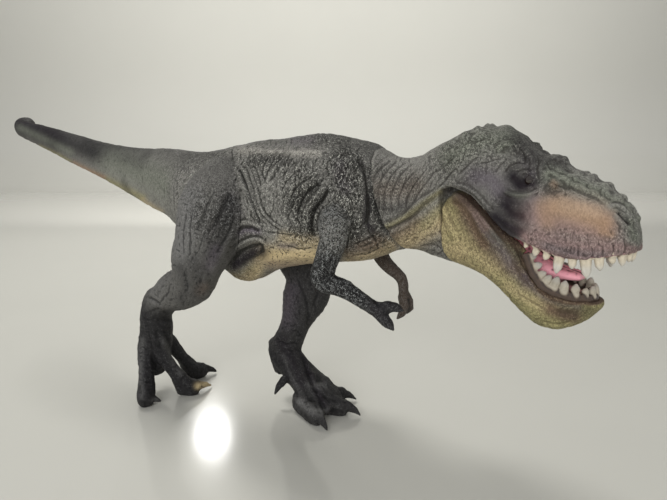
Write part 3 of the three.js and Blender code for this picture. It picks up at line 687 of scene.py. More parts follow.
def skin_paint(name, wash, brush, wash_code, brush_code, scales=2100.0, rough=0.68, sparse=0.45):
    """Painted scaly plastic: airbrushed colour, mottling, dark wash and a dry-brushed top coat."""
    material, wires, shader, place = fresh_material(name)
    grit = wires.attribute("grit")
    long = wires.add("Mapping", {"Vector": place, "Scale": (1.15, 1.15, 0.75)}).outputs[0]
    big = wires.group(pebble_scales(), {"Place": long, "Count per Metre": scales, "Wander": 0.0009})
    small = wires.group(pebble_scales(), {"Place": place, "Count per Metre": scales * 2.3, "Wander": 0.0004})
    clouds = wires.group(mottling(), {"Place": place, "Size": 80.0, "Strength": 0.22})
    toned = wires.multiplied(wires.attribute("paint", "Color"), clouds["Tone"])
    uneven = wires.times(wires.maths("SUBTRACT", big["Scale Tone"], 0.5), wires.plus(grit, 0.12))
    height = wires.plus(wires.times(big["Height"], 0.68), wires.times(small["Height"], 0.32))
    brushed = wires.group(dry_brush(), {
        "Colour": wires.multiplied(toned, wires.plus(wires.times(uneven, 1.2), 1.0)),
        "Wash Colour": srgb(wash_code),
        "Brush Colour": srgb(brush_code),
        "Fold": wires.attribute("fold"),
        "Height": height,
        "Tone": big["Scale Tone"],
        "Lines": big["Lines"],
        "Grit": grit,
        "Wash": wash,
        "Brush": brush,
        "Sparse": sparse,
    })
    proud_scales = wires.times(height, wires.plus(wires.times(grit, 0.85), 0.15))
    bump = wires.add("Bump", {"Height": proud_scales, "Distance": SCALE_RELIEF, "Strength": 1.0})
    wires.feed(shader, {
        "Base Color": brushed["Colour"],
        "Roughness": wires.ramp(brushed["Proud"], 0.0, 1.0, rough, rough + 0.12),
        "Normal": bump.outputs[0],
        "Specular IOR Level": 0.25,
    })
    return material


def gloss_paint(name, cloud_size, shade, shade_code, rough, relief, strength):
    """Smooth paint with clouds of tone and painted shade, a dark colour, in its gaps."""
    material, wires, shader, place = fresh_material(name)
    clouds = wires.group(mottling(), {"Place": place, "Size": cloud_size, "Strength": 0.3})
    toned = wires.multiplied(wires.attribute("paint", "Color"), clouds["Tone"])
    # painted shade: the dark colour is mixed in where the fold marks a recess
    gaps = wires.ramp(wires.attribute("fold"), 0.5, 0.1, 0.0, shade)
    bump = wires.add("Bump", {"Height": clouds["Tone"], "Distance": relief, "Strength": strength})
    wires.feed(shader, {
        "Base Color": wires.mixed(gaps, toned, srgb(shade_code)),
        "Roughness": rough,
        "Normal": bump.outputs[0],
    })
    return material


def enamel():
    """Satin painted teeth with grey brown painted shade in their gaps."""
    return gloss_paint("tooth_paint", 600.0, 0.9, "3c332e", 0.4, 0.0001, 0.5)


def wet_flesh():
    """Glossy pink paint of the tongue, with dark painted shade in its creases."""
    return gloss_paint("tongue_paint", 260.0, 0.8, "3d1420", 0.3, 0.0002, 0.6)


def bead_paint():
    """High gloss black of an eye, with a faint brown iris."""
    material, wires, shader, place = fresh_material("eye_gloss")
    clouds = wires.group(mottling(), {"Place": place, "Size": 900.0, "Strength": 0.5})
    tinted = wires.multiplied(srgb("1c120d"), clouds["Tone"])
    wires.feed(shader, {"Base Color": tinted, "Roughness": 0.06, "Coat Weight": 1.0, "Coat Roughness": 0.03})
    return material


def wire_steel():
    """Drawn steel wire with fine lines and dull spots."""
    material, wires, shader, place = fresh_material("pin_steel")
    drawn_out = wires.add("Mapping", {"Vector": place, "Scale": (900.0, 60.0, 900.0)}).outputs[0]
    lines = wires.add("TexNoise", {"Vector": drawn_out, "Scale": 3.0}).outputs[0]
    wires.feed(shader, {
        "Base Color": wires.mixed(wires.ramp(lines, 0.4, 0.7), srgb("8d8d8f"), srgb("b9babd")),
        "Roughness": wires.ramp(lines, 0.3, 0.7, 0.28, 0.45),
        "Metallic": 1.0,
    })
    return material


# Marks drawn on the picture

# Parts of the picture that the marks were read off: left, top and how many times enlarged
WHOLE = (0, 0, 1)
TRUNK_VIEW = (225, 125, 9.8)
HEAD_VIEW = (440, 100, 6.535)

# Rows of a MARKS table have a depth in millimetres, below zero for a cut, a width in pixels and a line
TRUNK_MARKS = strokes(TRUNK_VIEW, [
    # folds that fan in front of the thigh, with light ridges between
    (-1.1, 1.2, 150, 450, 200, 590, 250, 700, 290, 830, 345, 960),
    (-1.0, 1.0, 210, 430, 250, 540, 288, 650, 305, 770),
    (-0.9, 1.0, 280, 390, 318, 490, 345, 600),
    (0.7, 1.0, 135, 380, 190, 480, 245, 610, 290, 750, 340, 880, 420, 960),
    (0.8, 1.0, 195, 370, 248, 470, 287, 580, 318, 700, 368, 850, 470, 960, 600, 1040),
    (0.7, 1.0, 285, 350, 330, 450, 372, 560),
    (0.6, 1.6, 580, 330, 490, 430, 400, 560),
    (-0.5, 1.0, 500, 320, 440, 400, 400, 500),
    (-0.5, 1.0, 430, 310, 380, 390, 360, 470),
    # crescents of the ribs and the ridges between them
    (-0.5, 1.1, 700, 455, 640, 510, 590, 560, 560, 650),
    (-1.1, 1.4, 870, 490, 770, 550, 700, 600, 645, 690, 620, 770),
    (-1.4, 1.7, 915, 570, 820, 640, 760, 710, 722, 790, 712, 860),
    (-1.9, 2.0, 1005, 640, 950, 730, 890, 800, 850, 890, 838, 990, 870, 1100),
    (-1.1, 1.6, 1015, 830, 975, 900, 950, 980),
    (-0.6, 1.2, 700, 900, 730, 980, 740, 1060),
    (0.8, 1.6, 860, 530, 760, 600, 690, 690, 650, 800),
    (1.0, 1.8, 975, 600, 890, 690, 825, 770, 780, 880, 770, 980),
    (0.9, 1.6, 940, 790, 900, 880, 895, 1000),
    # light edge of the back
    (0.35, 2.4, 110, 225, 330, 248, 560, 268, 820, 258, 960, 262),
    # bulge of the shoulder with the groove in front of it
    (1.2, 9.0, 1130, 330, 1200, 560, 1180, 800, 1120, 1000),
    (-0.2, 3.0, 985, 360, 1010, 430, 1040, 500),
    (-1.6, 3.0, 1290, 300, 1360, 400, 1395, 560, 1400, 760, 1390, 900, 1370, 980),
    # wrinkled skin of the chest under the neck
    (-0.4, 1.4, 1250, 1170, 1380, 1130, 1500, 1070),
    (0.45, 1.6, 1280, 1230, 1420, 1190, 1560, 1110),
    (-0.35, 1.3, 1240, 1280, 1400, 1260, 1560, 1190),
    (-0.35, 1.3, 1420, 1060, 1480, 1140, 1500, 1220),
    # belly and groin
    (-0.3, 1.2, 380, 1040, 560, 1070, 760, 1100, 900, 1140),
    (-0.3, 1.2, 500, 1180, 640, 1200, 760, 1220, 900, 1190),
    (-1.2, 2.2, 90, 1090, 160, 1010, 260, 1010, 330, 1050),
    (0.7, 1.4, 60, 1240, 160, 1160, 300, 1110, 400, 1170),
    (-1.7, 3.0, 70, 1310, 200, 1220, 330, 1190, 370, 1260),
]) + strokes(WHOLE, [
    # scale seams of the neck behind the head
    (-0.5, 1.0, 381, 160, 373, 168, 370, 180, 371, 196),
    (-0.5, 1.0, 386, 162, 378, 171, 374, 184, 375, 198),
]) + wrinkles([
    (3, (236, 154, 290, 172), 100, 60, 5, 0.8, -0.3, 25),
    (4, (245, 170, 290, 236), 78, 70, 8, 0.8, -0.16, 12),
    (5, (284, 160, 330, 245), 108, 150, 7, 0.8, -0.34, 18),
    (6, (328, 150, 364, 246), 95, 190, 7, 0.8, -0.36, 16),
    (7, (264, 236, 330, 252), 20, 40, 7, 0.9, -0.12, 40),
    (8, (225, 134, 350, 152), 95, 70, 5, 0.8, -0.14, 12),
    (9, (190, 150, 236, 215), 75, 30, 10, 1.2, -0.12, 12),
])
BELLY_BULGE = strokes(WHOLE, [(2.8, 8.5, 247, 274)])
TAIL_MARKS = strokes(WHOLE, [
    (-0.15, 4.0, 70, 150, 110, 168, 150, 184, 176, 196),
    (0.2, 5.0, 74, 138, 114, 154, 156, 165, 196, 170),
    (-0.2, 3.0, 150, 156, 180, 160, 210, 158),
]) + wrinkles([
    (11, (90, 140, 205, 205), 100, 60, 7, 1.0, -0.1, 35),
    (12, (14, 116, 120, 165), 100, 70, 5, 0.9, -0.12, 30),
])
RIGHT_LEG_MARKS = strokes(WHOLE, [
    (-0.7, 2.8, 230, 192, 223, 208, 215, 222, 206, 237),
    (0.5, 4.0, 222, 198, 212, 220, 202, 244),
    (0.4, 4.0, 204, 186, 195, 212, 186, 236),
    (-0.4, 2.2, 213, 190, 204, 212, 195, 234),
    (-0.3, 1.3, 186, 212, 183, 236, 184, 258),
    (-0.3, 1.3, 194, 206, 190, 232, 190, 256),
    (-0.25, 1.2, 222, 214, 213, 234, 204, 256),
    (-0.25, 1.2, 214, 210, 206, 230, 198, 252),
    (-0.5, 2.0, 236, 214, 228, 234, 216, 254),
    (0.6, 4.0, 198, 270, 205, 280, 203, 292),
    (-0.35, 3.2, 176, 264, 184, 274, 186, 288, 180, 302),
    (0.6, 5.0, 160, 272, 155, 284, 153, 296),
    (-0.4, 1.8, 170, 282, 166, 294, 158, 304),
    (-0.8, 1.6, 148, 297, 154, 300, 160, 306),
    (-0.5, 2.0, 145, 314, 156, 310, 168, 314),
    (0.5, 2.4, 158, 328, 164, 346, 168, 364),
    (-0.6, 1.8, 164, 330, 170, 344, 174, 354),
    (-0.5, 2.0, 148, 330, 152, 350, 155, 370),
    (-0.4, 1.2, 142, 366, 148, 368, 154, 366),
    (-0.4, 1.2, 141, 380, 147, 382, 152, 380),
    (-0.4, 1.2, 172, 368, 176, 366, 180, 362),
    (-0.4, 1.2, 180, 382, 184, 376, 190, 374),
    (0.9, 3.0, 178, 368, 186, 378, 192, 386),
    (0.8, 3.0, 190, 350, 200, 356, 208, 362),
    (0.9, 3.4, 143, 372, 145, 386, 147, 398),
    (0.7, 2.6, 160, 322, 172, 326),
]) + wrinkles([
    (21, (172, 180, 240, 262), 105, 60, 12, 1.1, -0.1, 12),
    (22, (145, 262, 205, 320), 110, 44, 9, 1.0, -0.09, 12),
    (23, (140, 320, 178, 385), 80, 50, 7, 0.9, -0.12, 12),
    (24, (138, 370, 215, 405), 100, 40, 5, 0.9, -0.12, 12),
    (25, (145, 255, 212, 320), 165, 70, 5, 0.8, -0.09, 25),
    (28, (176, 180, 240, 255), 15, 130, 5, 0.8, -0.16, 25),
    (26, (138, 318, 182, 372), 8, 70, 6, 0.8, -0.2, 16),
    (27, (140, 366, 214, 402), 20, 60, 4, 0.8, -0.2, 40),
])
LEFT_LEG_MARKS = strokes(WHOLE, [
    (-0.6, 2.4, 296, 278, 304, 296, 308, 314, 306, 330),
    (0.6, 5.0, 290, 290, 288, 306, 286, 322),
    (-0.4, 2.2, 318, 276, 318, 292, 312, 308),
    (-0.5, 2.0, 276, 338, 286, 344, 296, 342),
    (-0.4, 1.8, 286, 352, 290, 368, 298, 384),
    (0.4, 2.6, 295, 350, 298, 366, 306, 380),
    (-0.5, 1.8, 306, 384, 318, 380, 330, 384),
    (-0.5, 1.8, 310, 398, 322, 396, 336, 402),
    (1.8, 3.4, 312, 375),
    (1.6, 3.6, 326, 380),
    (2.0, 4.0, 343, 387),
    (-1.4, 2.0, 302, 356, 309, 376, 318, 396, 327, 412),
    (0.8, 3.6, 334, 404, 346, 408),
    (0.9, 4.0, 308, 408, 316, 420),
    (-0.7, 1.4, 312, 388, 322, 394, 330, 404),
    (-0.5, 1.2, 340, 398, 350, 400, 356, 406),
]) + wrinkles([
    (31, (276, 268, 326, 330), 100, 44, 10, 1.0, -0.09, 12),
    (32, (270, 330, 312, 385), 82, 40, 8, 0.9, -0.1, 12),
    (33, (280, 375, 362, 430), 60, 50, 6, 0.9, -0.12, 12),
    (34, (270, 325, 312, 395), 8, 70, 6, 0.8, -0.2, 16),
    (35, (276, 268, 326, 330), 20, 50, 6, 0.8, -0.12, 30),
    (36, (284, 375, 356, 428), 20, 70, 4, 0.8, -0.2, 40),
])
ARM_MARKS = strokes(WHOLE, [
    (-0.7, 1.6, 334, 272, 337, 277, 344, 279),
    (-0.4, 1.4, 318, 270, 322, 280, 330, 288),
    (0.4, 3.0, 326, 252, 322, 266, 318, 280),
    (-0.4, 1.2, 371, 300, 376, 303, 379, 309),
    (0.5, 2.4, 331, 270, 341, 276, 352, 284),
    (-0.4, 1.2, 344, 286, 354, 293, 366, 300),
]) + wrinkles([
    (61, (310, 240, 350, 296), 95, 110, 6, 0.8, -0.3, 30),
    (62, (335, 270, 398, 330), 30, 110, 5, 0.8, -0.26, 50),
])
HEAD_MARKS = strokes(HEAD_VIEW, [
    # creases behind the crest
    (-0.8, 1.0, -30, 590, 20, 540, 75, 470, 110, 450),
    (-0.8, 1.0, 120, 485, 165, 440, 210, 395, 250, 370),
    (-0.5, 1.0, -60, 480, 0, 450, 60, 400, 110, 350),
    (-0.6, 1.0, 130, 310, 190, 275, 260, 262, 320, 245),
    (-0.5, 1.0, 30, 330, 90, 300, 130, 270),
    (-0.4, 1.0, 250, 420, 330, 400, 390, 380),
    # brow ridge, its bosses and the folds in front of the eye
    (0.8, 2.6, 370, 330, 420, 290, 480, 290, 520, 330),
    (-0.8, 1.2, 470, 275, 530, 320, 560, 360, 552, 420),
    (0.8, 2.0, 560, 330, 600, 380, 610, 440, 600, 480),
    (-0.7, 1.2, 430, 470, 455, 430, 510, 405, 560, 410),
    (-0.5, 1.2, 360, 470, 400, 420, 440, 380),
    (-0.7, 1.2, 640, 350, 650, 410, 640, 460, 650, 520),
    (-0.5, 1.0, 700, 400, 720, 450, 715, 480),
    # hollow round the eye, lids and the fold below
    (-0.9, 5.0, 470, 500, 520, 540, 580, 560),
    (0.4, 1.2, 520, 480, 560, 470, 600, 490, 615, 520),
    (0.35, 1.0, 525, 555, 565, 570, 605, 555),
    (-0.6, 1.0, 505, 470, 560, 450, 615, 470),
    (0.9, 1.3, 425, 590, 470, 620, 530, 628, 590, 615, 640, 590),
    (-0.8, 1.2, 415, 570, 470, 600, 540, 600, 600, 590),
    (0.5, 1.2, 500, 655, 560, 640, 620, 620),
    (-0.5, 1.2, 480, 640, 540, 640, 590, 632),
    # dark patch behind the corner of the mouth
    (-0.7, 5.0, 420, 700, 470, 740, 540, 760),
    (0.8, 1.8, 395, 790, 450, 770, 510, 800, 540, 840),
    (-0.8, 1.4, 390, 810, 440, 850, 490, 880),
    (-0.5, 1.0, 560, 660, 590, 720, 580, 790),
    # edge of the cheek along the seam
    (0.7, 1.4, 85, 545, 170, 575, 240, 620, 300, 690, 350, 740),
    # ridge of the nose with its knobs
    (0.8, 2.0, 650, 480, 710, 470, 770, 500, 860, 550, 950, 590, 1040, 630, 1110, 680),
    (-0.6, 1.4, 700, 520, 770, 560, 850, 580),
    (-0.4, 1.2, 860, 500, 880, 550),
    (-0.4, 1.2, 960, 540, 970, 590),
    (-0.4, 1.2, 1050, 580, 1050, 640),
    # nostril between its ridges
    (-1.5, 1.4, 1165, 735, 1200, 770, 1235, 810),
    (0.8, 1.4, 1120, 690, 1170, 690, 1220, 740, 1260, 810),
    (0.7, 1.3, 1130, 730, 1170, 790, 1210, 840),
    (-0.6, 1.4, 1225, 680, 1260, 760, 1280, 850),
    # upright wrinkles of the lip
    (-0.9, 1.2, 1205, 900, 1215, 960, 1200, 1030),
    (-0.8, 1.1, 1130, 930, 1140, 980, 1130, 1040),
    (-0.6, 1.1, 1060, 950, 1065, 1000, 1055, 1040),
    (-0.5, 1.1, 990, 960, 1000, 1010, 990, 1040),
    (-0.5, 1.1, 900, 950, 905, 1000, 900, 1030),
    (0.4, 2.0, 700, 960, 850, 1020, 1000, 1045, 1150, 1040),
]) + strokes(WHOLE, [
    # folds of the neck
    (-0.6, 1.2, 391, 160, 377, 172, 372, 190, 374, 206),
    (-0.6, 1.2, 398, 160, 384, 174, 378, 192, 380, 210),
    (-0.6, 1.2, 405, 162, 391, 176, 384, 194, 386, 212),
    (-0.6, 1.2, 412, 163, 398, 178, 391, 196, 392, 212),
    (-0.6, 1.2, 419, 165, 406, 181, 399, 197, 399, 210),
    (-0.6, 1.2, 427, 168, 414, 184, 407, 198, 405, 208),
    (-0.6, 1.2, 434, 172, 423, 186, 415, 198, 411, 206),
    (0.4, 1.4, 388, 160, 375, 171, 368, 190, 370, 206),
    # light fold of the throat, and the hollow under it
    (0.9, 2.0, 384, 226, 395, 222, 407, 214, 420, 202, 431, 195, 440, 189),
    (-0.9, 1.8, 386, 231, 400, 225, 412, 217, 424, 206),
    (-1.4, 3.0, 386, 232, 383, 241, 381, 249),
    (0.5, 2.4, 425, 240, 440, 238, 452, 250, 461, 262),
    (-0.5, 1.6, 420, 246, 436, 246, 448, 258),
]) + wrinkles([
    (71, (372, 156, 440, 212), 112, 90, 8, 0.8, -0.2, 12),
    (72, (440, 134, 500, 185), 50, 110, 6, 0.8, -0.26, 35),
    (73, (500, 130, 560, 170), 60, 50, 5, 0.8, -0.22, 40),
    (75, (540, 226, 638, 262), 88, 90, 6, 0.8, -0.16, 14),
    (76, (560, 160, 640, 200), 60, 60, 5, 0.9, -0.1, 50),
    (77, (384, 222, 450, 262), 150, 60, 7, 0.9, -0.24, 25),
    (78, (495, 200, 532, 240), 50, 50, 5, 0.8, -0.28, 30),
])
JAW_MARKS = strokes(HEAD_VIEW, [
    (0.8, 2.0, 60, 600, 150, 640, 240, 730, 320, 830, 400, 920),
    (-0.9, 2.0, 70, 640, 150, 700, 210, 790, 250, 880, 320, 960),
    (0.5, 2.4, 0, 620, 20, 720, 60, 820, 110, 930),
    (-0.5, 1.6, 330, 800, 400, 900, 470, 990, 520, 1080),
    (0.7, 2.0, 430, 930, 490, 1010, 540, 1120, 620, 1220),
    (-0.6, 1.4, 500, 960, 540, 1060, 600, 1160),
    (-0.5, 1.4, 700, 1290, 800, 1330, 900, 1340),
    (-0.8, 1.3, 430, 1255, 448, 1285, 460, 1310),
    (-0.4, 1.6, 500, 1260, 620, 1330, 700, 1380),
    (0.6, 3.0, 720, 1400, 820, 1420, 900, 1400),
    (-0.5, 1.4, 660, 1440, 760, 1470, 860, 1450),
]) + wrinkles([
    (81, (442, 195, 520, 275), 60, 90, 6, 0.8, -0.22, 30),
    (82, (500, 262, 600, 328), 30, 80, 6, 0.8, -0.18, 45),
    (83, (515, 240, 545, 296), 50, 40, 5, 0.8, -0.22, 30),
])

# Round bumps that show on the outline of the crest, the brow and the nose: height and reach in mm
HEAD_KNOBS = strokes(HEAD_VIEW, [
    (1.0, 2.0, 60, 285), (1.4, 1.8, 165, 232), (1.4, 1.8, 250, 192), (1.2, 1.3, 312, 172),
    (0.9, 2.2, 430, 182), (-0.8, 1.2, 208, 222), (-0.8, 1.2, 115, 262), (-0.7, 1.0, 285, 186),
    (-0.8, 3.0, 665, 350), (1.3, 2.2, 765, 365), (1.6, 1.7, 815, 400), (-1.0, 1.6, 852, 456),
    (0.8, 1.5, 915, 480), (1.0, 1.5, 985, 500), (1.0, 1.5, 1080, 560), (1.0, 1.5, 1170, 640),
    (0.9, 1.6, 1250, 690), (-0.5, 1.0, 950, 490), (-0.5, 1.0, 1035, 525), (-0.5, 1.0, 1125, 600),
    (1.0, 1.6, 745, 545), (0.8, 2.0, 455, 315), (0.7, 1.4, 690, 485), (0.7, 1.4, 820, 520),
    (0.7, 1.4, 920, 560), (0.7, 1.4, 1010, 600), (0.6, 1.2, 880, 520), (0.6, 1.2, 780, 470),
])

# Rows of a SPRAY table have a colour, a strength, a reach in pixels and a line
TRUNK_SPRAY = strokes(WHOLE, [
    ("shade", 0.3, 16, 226, 182, 232, 200, 240, 222),
    ("violet", 0.4, 12, 228, 196, 236, 214),
    ("violet", 0.5, 10, 340, 166, 342, 182, 346, 190),
    ("violet", 0.4, 9, 294, 142, 310, 141),
    # painted highlight: grey and ivory along the edge of the back, where the light catches it
    ("back", 0.5, 12, 234, 148, 284, 150, 330, 150),
    ("ivory", 0.4, 6, 240, 151, 285, 153, 318, 153),
    # painted shade: near black in the creases of the ribs and of the fold in front of the thigh
    ("charcoal", 0.75, 5, 296, 196, 290, 206),
    ("charcoal", 0.8, 5, 318, 184, 304, 195, 298, 208, 298, 212),
    ("charcoal", 0.9, 6, 328, 190, 316, 207, 311, 219, 311, 234),
    ("charcoal", 0.7, 4, 328, 210, 323, 222),
    ("charcoal", 0.7, 4, 240, 171, 250, 196, 259, 222),
    ("charcoal", 0.5, 10, 255, 158, 270, 160, 284, 158),
    # painted shadow: black violet along the groove in front of the shoulder, where the bulge casts its shadow
    ("night", 0.55, 7, 360, 162, 366, 176, 368, 190),
    ("night", 0.95, 9, 368, 196, 368, 210, 366, 222, 372, 230),
    ("charcoal", 0.5, 12, 352, 226, 362, 236, 376, 240),
    ("shade", 0.7, 9, 374, 168, 376, 190),
    ("charcoal", 0.8, 9, 373, 196, 377, 210, 384, 226),
    ("earth", 0.5, 7, 378, 238, 392, 244),
    ("belly", 0.8, 11, 350, 260, 370, 256, 390, 248),
    ("charcoal", 0.5, 4, 356, 246, 368, 242, 378, 236),
    ("belly", 0.97, 15, 262, 256, 286, 255, 322, 255),
    ("belly", 0.55, 10, 284, 238, 316, 243),
    ("tan", 0.35, 9, 272, 265, 296, 266, 324, 266),
    ("violet", 0.55, 5, 281, 246, 287, 247, 294, 246),
    ("earth", 0.7, 13, 360, 248, 376, 246),
    ("earth", 0.5, 8, 346, 250, 352, 258),
    ("belly", 0.85, 10, 236, 276, 246, 276, 258, 268),
    ("olive", 0.5, 8, 238, 274, 252, 268),
    ("earth", 0.4, 7, 238, 275, 252, 270),
    ("violet", 0.85, 6, 238, 234, 247, 230, 258, 232),
    # painted shade: black violet in the deep crease where the thigh meets the belly
    ("night", 0.9, 11, 236, 263, 244, 257, 256, 251, 262, 253),
    ("night", 0.9, 7, 237, 263, 245, 259, 254, 254),
])
TAIL_SPRAY = strokes(WHOLE, [
    ("shade", 0.5, 20, 100, 150, 140, 165, 180, 176),
    ("moss", 0.7, 26, 110, 160, 150, 178, 176, 190),
    ("charcoal", 0.9, 20, 10, 122, 36, 130, 60, 140, 92, 152),
    ("night", 0.8, 20, 8, 122, 30, 127, 52, 136),
    ("charcoal", 0.4, 14, 92, 146, 110, 152, 140, 162),
    ("moss", 0.5, 6, 20, 128, 44, 139, 70, 152),
    ("charcoal", 0.5, 6, 86, 140, 110, 146, 150, 148),
    ("olive", 0.6, 3.5, 40, 147, 56, 154, 70, 162),
    ("tan", 0.8, 4.5, 74, 164, 86, 170, 104, 178),
    ("olive", 0.7, 6, 108, 181, 124, 189, 142, 198),
    ("belly", 0.5, 5, 142, 201, 160, 212),
])
THIGH_SPRAY = strokes(WHOLE, [
    ("ash", 0.7, 22, 188, 196, 184, 226, 180, 250),
    # painted shade: charcoal over the shaded front of the thigh, and black violet in its crease
    ("charcoal", 0.65, 15, 232, 204, 224, 228, 214, 254),
    ("night", 0.3, 7, 229, 196, 215, 222, 206, 237),
    ("violet", 0.4, 10, 216, 250, 210, 266),
    ("earth", 0.4, 9, 204, 287, 200, 291),
    ("charcoal", 0.5, 12, 194, 262, 200, 280, 196, 296),
    ("ash", 0.35, 12, 160, 270, 156, 284, 154, 298),
])
SHANK_SPRAY = strokes(WHOLE, [
    ("charcoal", 0.5, 10, 180, 268, 186, 286, 182, 300),
    ("ash", 0.35, 5, 142, 340, 140, 372, 141, 396),
    ("ash", 0.3, 5, 163, 340, 172, 360, 180, 374),
    ("belly", 0.85, 5, 198, 386, 207, 384, 215, 382),
    ("ash", 0.4, 4, 153, 401, 160, 398),
])
LEFT_LEG_SPRAY = strokes(WHOLE, [
    ("violet", 0.35, 14, 290, 290, 286, 320),
    # painted shade: black violet in the cut between the toes
    ("night", 0.7, 6, 303, 356, 310, 376, 319, 396, 328, 412),
    ("night", 0.6, 10, 282, 342, 290, 360, 300, 384),
    ("ash", 0.2, 4, 284, 356, 292, 376, 300, 392),
    ("ash", 0.7, 7, 300, 402, 312, 410, 324, 412),
    ("ash", 0.4, 6, 310, 384, 326, 386),
])
HEAD_SPRAY = strokes(WHOLE, [
    ("back", 0.6, 26, 378, 175, 410, 178),
    ("earth", 0.4, 18, 380, 190, 400, 190, 414, 186),
    ("charcoal", 0.6, 9, 378, 206, 392, 210, 404, 206),
    ("olive", 0.6, 5, 386, 227, 404, 218, 424, 204, 440, 192),
    ("earth", 0.7, 14, 388, 242, 404, 234, 416, 226),
    ("belly", 0.8, 16, 404, 246, 424, 232, 440, 222),
    ("olive", 0.6, 10, 424, 226, 436, 214, 446, 206),
    # painted shade: black violet in the hollow under the fold of the throat
    ("night", 0.85, 6, 384, 236, 381, 248),
]) + strokes(HEAD_VIEW, [
    ("charcoal", 0.42, 34, 260, 540, 420, 600, 560, 480, 700, 480),
    ("moss", 0.8, 20, 60, 370, 160, 310, 300, 250, 450, 240),
    ("charcoal", 0.6, 13, 500, 240, 570, 300, 680, 390, 800, 420),
    ("violet", 0.6, 17, 230, 500, 330, 520, 390, 600),
    ("moss", 0.7, 8, 380, 320, 450, 300),
    ("violet", 0.5, 9, 560, 400, 600, 460, 590, 540),
    ("night", 0.97, 14, 480, 500, 520, 540, 570, 530),
    ("night", 0.8, 8, 520, 570, 600, 550),
    ("shade", 0.7, 9, 510, 330, 560, 380, 600, 420),
    ("charcoal", 0.4, 12, 470, 300, 540, 340, 600, 400),
    ("moss", 0.6, 4, 440, 608, 520, 625, 600, 612),
    ("night", 0.97, 15, 430, 690, 470, 740, 540, 760),
    ("night", 0.97, 12, 360, 760, 440, 820, 530, 860),
    ("night", 0.7, 10, 440, 640, 500, 680, 560, 680),
    # painted shadow: black violet along the cheek's lower edge, in the groove over the jaw
    ("night", 0.8, 6, 300, 740, 380, 820, 450, 870, 520, 880),
    ("shade", 0.5, 7, 110, 560, 200, 600, 270, 660),
    ("moss", 0.9, 13, 720, 490, 800, 510, 900, 550, 1050, 610, 1140, 680),
    ("violet", 0.5, 10, 620, 640, 620, 760),
    ("wine", 0.8, 28, 680, 780, 860, 830, 1060, 860),
    ("tan", 0.9, 20, 760, 700, 880, 730, 1000, 770, 1070, 800),
    ("tan", 0.5, 14, 670, 700, 700, 800),
    ("cream", 0.7, 12, 800, 680, 900, 710, 1020, 730),
    ("earth", 0.75, 5, 740, 545, 755, 560),
    ("wine", 0.75, 11, 620, 880, 760, 930, 900, 960, 1060, 970, 1180, 960),
    ("wine", 0.8, 8, 560, 900, 640, 960, 775, 1015, 925, 1035, 1060, 1040, 1180, 1030, 1270, 1000),
    ("violet", 0.35, 9, 700, 960, 860, 1000, 1060, 1020),
    ("tan", 0.6, 6, 1060, 860, 1120, 880),
    ("moss", 0.85, 10, 1200, 700, 1250, 800, 1270, 900),
    ("back", 0.8, 5, 1120, 690, 1170, 690, 1230, 760),
    ("back", 0.7, 4, 1150, 760, 1200, 830),
    ("night", 0.9, 3, 1170, 740, 1235, 808),
    ("wine", 0.6, 7, 1230, 970, 1280, 980),
])
JAW_SPRAY = strokes(HEAD_VIEW, [
    ("belly", 0.65, 24, 20, 900, 160, 1020, 300, 1120),
    ("olive", 0.7, 12, -10, 660, 20, 780, 60, 900),
    ("belly", 0.4, 12, 10, 700, 40, 820),
    ("earth", 0.6, 14, 150, 760, 240, 880, 336, 1000, 448, 1110),
    ("violet", 0.8, 15, 230, 760, 310, 870, 400, 970, 480, 1080, 560, 1180),
    ("night", 0.3, 12, 180, 720, 260, 840, 340, 950),
    ("shade", 0.85, 10, 90, 610, 160, 650, 240, 730, 320, 830, 390, 900),
    ("wine", 0.6, 8, 150, 650, 230, 740, 300, 830),
    ("earth", 0.9, 8, 100, 660, 170, 740, 230, 850, 290, 950),
    # painted shadow: black violet along the jaw's upper edge, under the overhang of the cheek
    ("night", 0.8, 6, 230, 650, 290, 720, 350, 800, 420, 880, 500, 960, 545, 1060),
    ("night", 0.6, 9, 420, 880, 480, 960, 540, 1060, 580, 1130),
    ("earth", 0.5, 13, 520, 1100, 600, 1210, 700, 1310),
    ("olive", 0.5, 13, 200, 1060, 320, 1150, 440, 1230),
    ("belly", 0.35, 10, 440, 1220, 560, 1300, 660, 1350),
    ("olive", 0.9, 10, 470, 1330, 580, 1420, 700, 1470, 780, 1490),
    ("violet", 0.6, 8, 560, 1150, 640, 1250, 760, 1320, 900, 1350),
    ("earth", 0.95, 11, 720, 1370, 800, 1400, 880, 1420),
    ("night", 0.55, 9, 800, 1380, 900, 1390, 980, 1370),
])

# Rows of a GRIT table have the strength of the scales, a reach in pixels and a line
TRUNK_GRIT = strokes(WHOLE, [
    (0.6, 14, 250, 162, 284, 162),
    (0.5, 22, 262, 190, 270, 215),
    (0.9, 26, 300, 180, 304, 226),
    (1.0, 22, 344, 160, 348, 190, 346, 236),
    (0.8, 12, 374, 170, 378, 210, 388, 240),
    (0.25, 8, 240, 142, 300, 142),
    (0.7, 10, 318, 138, 344, 140),
    (0.08, 14, 270, 258, 320, 258),
    (0.1, 7, 237, 263, 245, 259, 254, 254),
    (0.2, 5, 368, 196, 367, 222),
])
HEAD_GRIT = strokes(WHOLE, [
    (0.75, 20, 378, 180, 410, 185),
    (0.8, 12, 374, 170, 378, 210, 388, 240),
    (0.6, 18, 400, 240, 430, 240),
]) + strokes(HEAD_VIEW, [
    (0.75, 22, 0, 420, 140, 330, 300, 290),
    (0.6, 14, 420, 260, 560, 300),
    (0.15, 20, 300, 560, 480, 540, 560, 700),
    (0.08, 14, 370, 770, 440, 820, 520, 860),
    (0.1, 12, 430, 690, 470, 740, 540, 760),
    (0.35, 14, 700, 470, 1000, 580, 1150, 700),
    (0.1, 26, 660, 740, 850, 740, 1060, 780),
    (0.35, 12, 640, 930, 900, 980, 1160, 980),
])
